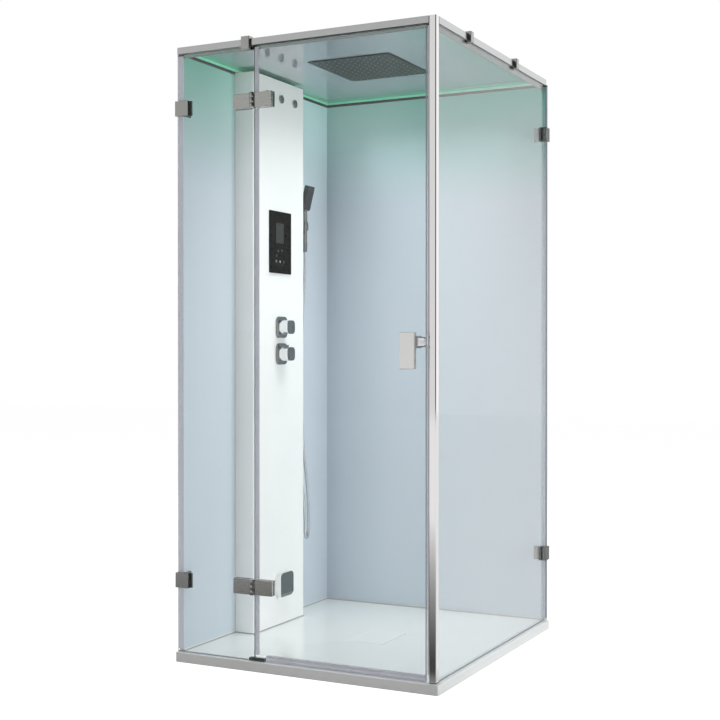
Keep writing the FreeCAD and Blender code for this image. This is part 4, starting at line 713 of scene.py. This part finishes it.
def make_ribbed_tube_tree():
    """A tube along a curve, with ribs round it at an even pitch."""
    tree, given, result = new_geometry_tree("ribbed_tube", {
        "Radius": (number, 0.006), "Pitch": (number, 0.003), "Rib Depth": (number, 0.08),
        "Material": ("NodeSocketMaterial", None)})
    step = add_math(tree, "DIVIDE", given["Pitch"], 4.0)
    line = tree.nodes.new("GeometryNodeResampleCurve")
    line.mode = "LENGTH"
    tree.links.new(given["Geometry"], line.inputs["Curve"])
    tree.links.new(step, line.inputs["Length"])
    along = tree.nodes.new("GeometryNodeSplineParameter").outputs["Length"]
    turns = add_math(tree, "DIVIDE", along, given["Pitch"])
    wave = add_math(tree, "SINE", add_math(tree, "MULTIPLY", turns, 2.0 * math.pi))
    relief = add_math(tree, "MULTIPLY", add_math(tree, "SUBTRACT", wave, 1.0),
                      add_math(tree, "DIVIDE", given["Rib Depth"], 2.0))
    scale = add_math(tree, "ADD", relief, 1.0)
    ring = add_node(tree, "GeometryNodeCurvePrimitiveCircle",
                    {"Resolution": 12, "Radius": given["Radius"]})
    tube = add_node(tree, "GeometryNodeCurveToMesh",
                    {"Curve": line.outputs[0], "Profile Curve": ring.outputs[0],
                     "Scale": scale, "Fill Caps": True})
    smooth = add_node(tree, "GeometryNodeSetShadeSmooth", {"Geometry": tube.outputs[0]})
    finish_tree(tree, smooth.outputs[0], given["Material"], result)
    return tree


hose_curve = make_hose_curve()
hose_line = points_along(hose_curve)
hose = grow("hose_skin", hose_curve, make_ribbed_tube_tree(), {
    "Radius": hose_diameter / 2, "Pitch": hose_rib_pitch, "Rib Depth": hose_rib_depth,
    "Material": finishes["shower_hose"]})
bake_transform(hose, "cabin", "hand_shower", start=hose_route[2], end=hose_route[0])
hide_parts("shower_hose")

# ----------------------------------------------------------- softened edges


def soften(node_name, width, segments=2):
    """A copy of a node with its hard edges bevelled, which then stands for the node."""
    source = nodes_of_frame[node_name]
    bm = bmesh.new()
    bm.from_mesh(source.data)
    bmesh.ops.remove_doubles(bm, verts=bm.verts, dist=1e-6)
    bmesh.ops.dissolve_limit(bm, angle_limit=math.radians(0.5), verts=bm.verts, edges=bm.edges)
    draft = object_from_bmesh(node_name + "_draft", bm, node_name)
    bevel = draft.modifiers.new("bevel", "BEVEL")
    bevel.width = width
    bevel.segments = segments
    bevel.limit_method = "ANGLE"
    bevel.angle_limit = math.radians(35.0)
    bevel.use_clamp_overlap = True
    bevel.harden_normals = True
    piece = plain_mesh(node_name + "_skin", draft)
    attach(piece, body_of_node(node_name))
    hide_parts(node_name)
    return piece


soften("tray", 2.0 * mm, 3)
soften("top_rails", 0.8 * mm)
soften("wall_clamp_outer", 0.7 * mm)
soften("rail_clips", 0.7 * mm)
soften("floor_clamp", 0.7 * mm)
soften("hinge_fixed_leaves", 0.6 * mm)
soften("hinge_door_plates", 0.6 * mm)

# --------------------------------------------------------------- door seal

door_low, door_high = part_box("door_glass")
hinge_low, hinge_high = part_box("hinge_door_plates")
hinge_plate_height = 52 * mm


def make_hinge_seal_wings():
    """The two thin legs of the hinge side's seal, along the door glass's faces."""
    bm = bmesh.new()
    leg = 1.0 * mm
    reach = 13.0 * mm
    gap = 2 * mm
    bottom = door_low.z + 8 * mm
    top = door_high.z - 3 * mm
    spans = [(bottom, hinge_low.z - gap),
             (hinge_low.z + hinge_plate_height + gap, hinge_high.z - hinge_plate_height - gap),
             (hinge_high.z + gap, top)]
    for low, high in spans:
        for face_y, outer_y in ((door_low.y, door_low.y - leg), (door_high.y, door_high.y + leg)):
            add_block(bm, (door_low.x, min(face_y, outer_y), low),
                      (door_low.x + reach, max(face_y, outer_y), high))
    wings = object_from_bmesh("hinge_seal_wings", bm, "door_seals")
    wings.data.materials[0] = seal_plastic("clear hinge seal", (0.72, 0.74, 0.80), 0.0, 1.0,
                                           0.5, 0.5)
    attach(wings, "door")


make_hinge_seal_wings()

# ---------------------------------------------------------- control panel

panel_low, panel_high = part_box("control_glass")
print_x = panel_high.x + 0.1 * mm
print_material = mottled("grey panel print", (0.70, 0.72, 0.72), 0.3, 0.4)
faint_print = mottled("faint panel print", (0.075, 0.078, 0.078), 0.3, 0.4)


def flat_ring(bm, y, z, radius, width, sides=28, start=0.0, turn=2 * math.pi):
    """A flat ring or arc, printed on the panel's glass."""
    inner = []
    outer = []
    for step in range(sides + 1):
        angle = start + turn * step / sides
        for ring, reach in ((inner, radius - width), (outer, radius)):
            ring.append(bm.verts.new((print_x, y + reach * math.sin(angle),
                                      z + reach * math.cos(angle))))
    for step in range(sides):
        bm.faces.new((inner[step], outer[step], outer[step + 1], inner[step + 1]))


def flat_bar(bm, y0, y1, z0, z1):
    corners = ((y0, z0), (y1, z0), (y1, z1), (y0, z1))
    bm.faces.new([bm.verts.new((print_x, y, z)) for y, z in corners])


def printed(name, bm, material):
    """A flat print 0.1 mm in front of the panel's glass."""
    bmesh.ops.remove_doubles(bm, verts=bm.verts, dist=1e-6)
    for face in bm.faces:
        if face.normal.x < 0:
            face.normal_flip()
    mesh = bpy.data.meshes.new(name)
    bm.to_mesh(mesh)
    bm.free()
    mesh.materials.append(material)
    piece = bpy.data.objects.new(name, mesh)
    collection.objects.link(piece)
    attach(piece, "cabin")


def make_panel_print():
    """The panel's signs: two bright ones in the bottom row, faint ones round them."""
    middle_y = (panel_low.y + panel_high.y) / 2
    row = panel_low.z + 45 * mm
    arrow_row = row + 42 * mm
    dot_row = row - 14 * mm
    power_y = middle_y - 33 * mm
    light_y = middle_y - 4 * mm
    fan_y = middle_y + 24 * mm
    steam_y = middle_y - 31 * mm
    steam_pitch = 3.4 * mm
    up_y = middle_y - 18 * mm
    down_y = middle_y + 10 * mm

    bright = bmesh.new()
    # on and off: an open ring with a bar
    flat_ring(bright, power_y, row, 4.5 * mm, 1.0 * mm, 24, 0.6, 2 * math.pi - 1.2)
    flat_bar(bright, power_y - 0.6 * mm, power_y + 0.6 * mm, row + 1.0 * mm, row + 5.6 * mm)
    # light: a ring with a disc
    flat_ring(bright, light_y, row, 4.5 * mm, 0.9 * mm)
    flat_ring(bright, light_y, row, 2.2 * mm, 2.15 * mm)
    printed("panel_print_keys", bright, print_material)

    faint = bmesh.new()
    # fan: a ring; steam: three bars; up and down: an arrow each, with a dot below
    flat_ring(faint, fan_y, row, 5.5 * mm, 1.2 * mm)
    for step in (-1, 0, 1):
        bar_y = steam_y + step * steam_pitch
        flat_bar(faint, bar_y - 0.7 * mm, bar_y + 0.7 * mm, row + 17 * mm, row + 27 * mm)
    for y, sign in ((up_y, 1), (down_y, -1)):
        base_z = arrow_row - sign * 4 * mm
        faint.faces.new([faint.verts.new((print_x, y - 5 * mm, base_z)),
                         faint.verts.new((print_x, y + 5 * mm, base_z)),
                         faint.verts.new((print_x, y, arrow_row + sign * 4.5 * mm))])
    flat_ring(faint, up_y, dot_row, 2.0 * mm, 1.9 * mm, 16)
    flat_ring(faint, down_y, dot_row, 2.0 * mm, 1.9 * mm, 16)
    printed("panel_print_faint", faint, faint_print)


make_panel_print()

# ------------------------------------------------------------ screw sockets


def make_socket_tree():
    """A thin dark hexagon on each point, painted shade for a screw's socket hole."""
    tree, given, result = new_geometry_tree("screw_sockets", {
        "Socket Radius": (number, 0.0022), "Socket Height": (number, 0.0002),
        "Turn": (vector_socket, (0.0, 0.0, 0.0)), "Material": ("NodeSocketMaterial", None)})
    hexagon = add_node(tree, "GeometryNodeMeshCylinder",
                       {"Vertices": 6, "Radius": given["Socket Radius"],
                        "Depth": given["Socket Height"]})
    copies = add_node(tree, "GeometryNodeInstanceOnPoints",
                      {"Points": given["Geometry"], "Instance": hexagon.outputs[0],
                       "Rotation": given["Turn"]})
    finish_tree(tree, copies.outputs[0], given["Material"], result)
    return tree


socket_tree = make_socket_tree()
# painted shade of the screws' socket holes
painted_socket_shade = mottled("dark screw socket", (0.02, 0.02, 0.02), 0.5, 0.7)
hinge_axis_x = -0.188
screw_offsets = (23.5 * mm, 62.0 * mm)
socket_depth = hinge_high.y + 0.1 * mm


def hinge_screw_points(direction):
    """The hinges' screws inside; direction is 1 on the door and -1 on the fixed glass."""
    middles = (hinge_low.z + hinge_plate_height / 2, hinge_high.z - hinge_plate_height / 2)
    return [(hinge_axis_x + direction * offset, socket_depth, z)
            for offset in screw_offsets for z in middles]


def add_sockets(name, direction, body):
    points = object_of_points(name + "_points", hinge_screw_points(direction))
    sockets = grow(name, points, socket_tree,
                   {"Turn": (math.radians(90.0), 0.0, 0.0), "Material": painted_socket_shade})
    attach(sockets, body)


add_sockets("door_screw_sockets", 1, "door")
add_sockets("hinge_screw_sockets", -1, "cabin")

# ----------------------------------------------------------- silicone joints


tray_deck = 34 * mm
silicone_bead = 3.5 * mm


def make_silicone_joints():
    """A thin bead where the walls and the column meet the tray, its grey darkened as painted shade along the
    wall foot.
    """
    bm = bmesh.new()
    left_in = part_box("left_wall_panel")[1].x
    back_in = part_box("back_wall_panel")[0].y
    column_low, column_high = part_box("column_shell")
    front_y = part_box("left_wall_panel")[0].y
    glass_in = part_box("right_fixed_glass")[0].x

    def add_bead(start, end, inward):
        """A three-sided bead on the deck from start to end; inward leads off the wall."""
        corners = []
        for x, y in (start, end):
            place = Vector((x, y, tray_deck))
            corners.append([bm.verts.new(place),
                            bm.verts.new(place + Vector(inward) * silicone_bead),
                            bm.verts.new(place + Vector((0, 0, silicone_bead)))])
        first, second = corners
        bm.faces.new(first)
        bm.faces.new(second[::-1])
        for index in range(3):
            following = (index + 1) % 3
            bm.faces.new((first[index], first[following], second[following], second[index]))

    face = column_high.x
    add_bead((left_in, front_y), (left_in, column_low.y), (1, 0, 0))
    add_bead((left_in, column_high.y), (left_in, back_in), (1, 0, 0))
    add_bead((left_in, back_in), (glass_in, back_in), (0, -1, 0))
    add_bead((face, column_low.y), (face, column_high.y), (1, 0, 0))
    add_bead((left_in, column_low.y), (face, column_low.y), (0, -1, 0))
    add_bead((left_in, column_high.y), (face, column_high.y), (0, 1, 0))
    joints = object_from_bmesh("silicone_joints", bm, "tray")
    # the bead's grey is darkened as painted shade along the wall foot
    joints.data.materials[0] = mottled("grey silicone", (0.30, 0.33, 0.33), 0.35, 0.5)
    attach(joints, "cabin")


make_silicone_joints()

# ------------------------------------------------------------ floor and light


def add_emission(tree, strength):
    return add_node(tree, "ShaderNodeEmission",
                    {"Color": (1, 1, 1, 1), "Strength": strength}).outputs[0]


def seen_straight(light_path, tree):
    """1 on what the camera sees directly or through glass."""
    return add_math(tree, "MAXIMUM", light_path.outputs["Is Camera Ray"],
                    light_path.outputs["Is Transmission Ray"])


def make_floor():
    """A pale floor that ends white in the picture and keeps the cabin's shadow."""
    bm = bmesh.new()
    bmesh.ops.create_grid(bm, x_segments=1, y_segments=1, size=16.0)
    mesh = bpy.data.meshes.new("studio_floor")
    bm.to_mesh(mesh)
    bm.free()
    floor = bpy.data.objects.new("studio_floor", mesh)
    collection.objects.link(floor)
    material, tree, shader = new_material("pale floor", Roughness=0.9, Specular_IOR_Level=0.1)
    shader.inputs["Base Color"].default_value = (0.62, 0.62, 0.62, 1)
    light_path = tree.nodes.new("ShaderNodeLightPath")
    seen = seen_straight(light_path, tree)
    matt = add_node(tree, "ShaderNodeBsdfDiffuse", {"Color": (0.36, 0.36, 0.36, 1)})
    bright = add_node(tree, "ShaderNodeAddShader",
                      {0: add_emission(tree, 0.95), 1: matt.outputs[0]})
    place = add_node(tree, "ShaderNodeSeparateXYZ", {0: object_point(tree)}).outputs
    squares = [add_math(tree, "MULTIPLY", place[axis], place[axis]) for axis in ("X", "Y")]
    far = add_math(tree, "SQRT", add_math(tree, "ADD", *squares))
    # gloss sees a dark floor only close in front of the cabin
    near_level, far_level = 0.06, 0.85
    mirrored = add_emission(tree, add_math(
        tree, "MAXIMUM", add_range(tree, far, 1.0, 4.5, near_level, far_level),
        add_range(tree, place["Y"], -0.8, -0.2, near_level, far_level)))
    first = add_node(tree, "ShaderNodeMixShader", {0: light_path.outputs["Is Glossy Ray"],
                                                   1: shader.outputs[0], 2: mirrored})
    second = add_node(tree, "ShaderNodeMixShader", {0: seen, 1: first.outputs[0],
                                                    2: bright.outputs[0]})
    tree.links.new(second.outputs[0], tree.nodes["Material Output"].inputs["Surface"])
    mesh.materials.append(material)


def make_lamp(name, place, target, width, height, power, spread=180.0):
    """A soft lamp that isn't seen itself, straight on or mirrored."""
    lamp = bpy.data.lights.new(name, "AREA")
    lamp.shape = "RECTANGLE"
    lamp.size = width
    lamp.size_y = height
    lamp.energy = power
    lamp.spread = math.radians(spread)
    holder = bpy.data.objects.new(name, lamp)
    holder.location = place
    holder.rotation_euler = (Vector(target) - Vector(place)).to_track_quat("-Z", "Y").to_euler()
    holder.visible_glossy = False
    holder.visible_camera = False
    holder.visible_transmission = False
    collection.objects.link(holder)


def make_world():
    """White round the cabin; what gloss shows of it has dark bands, as a studio's flags."""
    world = bpy.data.worlds.new("studio")
    bpy.context.scene.world = world
    world.use_nodes = True
    tree = world.node_tree
    tree.nodes.clear()
    light_path = tree.nodes.new("ShaderNodeLightPath")
    seen = seen_straight(light_path, tree)
    direction = tree.nodes.new("ShaderNodeTexCoord").outputs["Generated"]
    part = add_node(tree, "ShaderNodeSeparateXYZ", {0: direction}).outputs
    turn = add_math(tree, "ARCTAN2", part["Y"], part["X"])
    ramp = add_node(tree, "ShaderNodeValToRGB",
                    {"Fac": add_range(tree, turn, -math.pi, math.pi, 0.0, 1.0)})
    # brightness round the horizon, as (share of the turn, level)
    stops = [(0.0, 0.55), (0.08, 0.74), (0.235, 0.74), (0.265, 0.05), (0.485, 0.04),
             (0.53, 0.80), (0.60, 1.0), (0.75, 1.0), (0.93, 0.5)]
    elements = ramp.color_ramp.elements
    while len(elements) < len(stops):
        elements.new(0.5)
    for element, (position, level) in zip(elements, stops):
        element.position = position
        element.color = (level, level, level, 1.0)
    up = add_range(tree, part["Z"], 0.35, 0.9, 0.0, 1.0)
    studio_color = add_mix(tree, up, ramp.outputs[0], (0.85, 0.85, 0.85, 1))
    # a dark band over the flags, which draws lines along round chrome
    band = add_math(tree, "SUBTRACT", add_range(tree, part["Z"], 0.30, 0.42, 1.0, 0.0),
                    add_range(tree, part["Z"], 0.68, 0.85, 0.0, -1.0))
    level = add_range(tree, band, 0.0, 1.0, 0.15, 1.0)
    studio_color = add_mix(tree, level, (0.0, 0.0, 0.0, 1), studio_color)

    def background(color, strength):
        return add_node(tree, "ShaderNodeBackground",
                        {"Color": color, "Strength": strength}).outputs[0]

    inner = add_node(tree, "ShaderNodeMixShader",
                     {0: light_path.outputs["Is Glossy Ray"],
                      1: background((1.0, 1.0, 1.0, 1), 0.12), 2: background(studio_color, 1.0)})
    outer = add_node(tree, "ShaderNodeMixShader",
                     {0: seen, 1: inner.outputs[0], 2: background((1, 1, 1, 1), 1.0)})
    output = tree.nodes.new("ShaderNodeOutputWorld")
    tree.links.new(outer.outputs[0], output.inputs["Surface"])


make_floor()
make_world()
# name, place, target, width, height, watts, spread in degrees
make_lamp("right softbox", (4.4, 0.2, 1.2), (0.0, 0.0, 0.8), 3.2, 3.0, 151.0)
make_lamp("front softbox", (-0.6, -4.6, 1.2), (0.0, 0.0, 0.8), 2.0, 2.4, 62.0)
make_lamp("back softbox", (-3.4, 3.6, 2.2), (0.0, 0.0, 1.0), 2.6, 2.6, 70.0)
make_lamp("top softbox", (0.4, -1.0, 4.6), (0.0, 0.0, 0.0), 3.0, 3.0, 24.0)
make_lamp("shower light", (0.04, 0.0, 2.10), (0.04, 0.0, 0.0), 0.66, 0.9, 6.3, 95.0)

scene = bpy.context.scene
scene.view_settings.view_transform = "Standard"
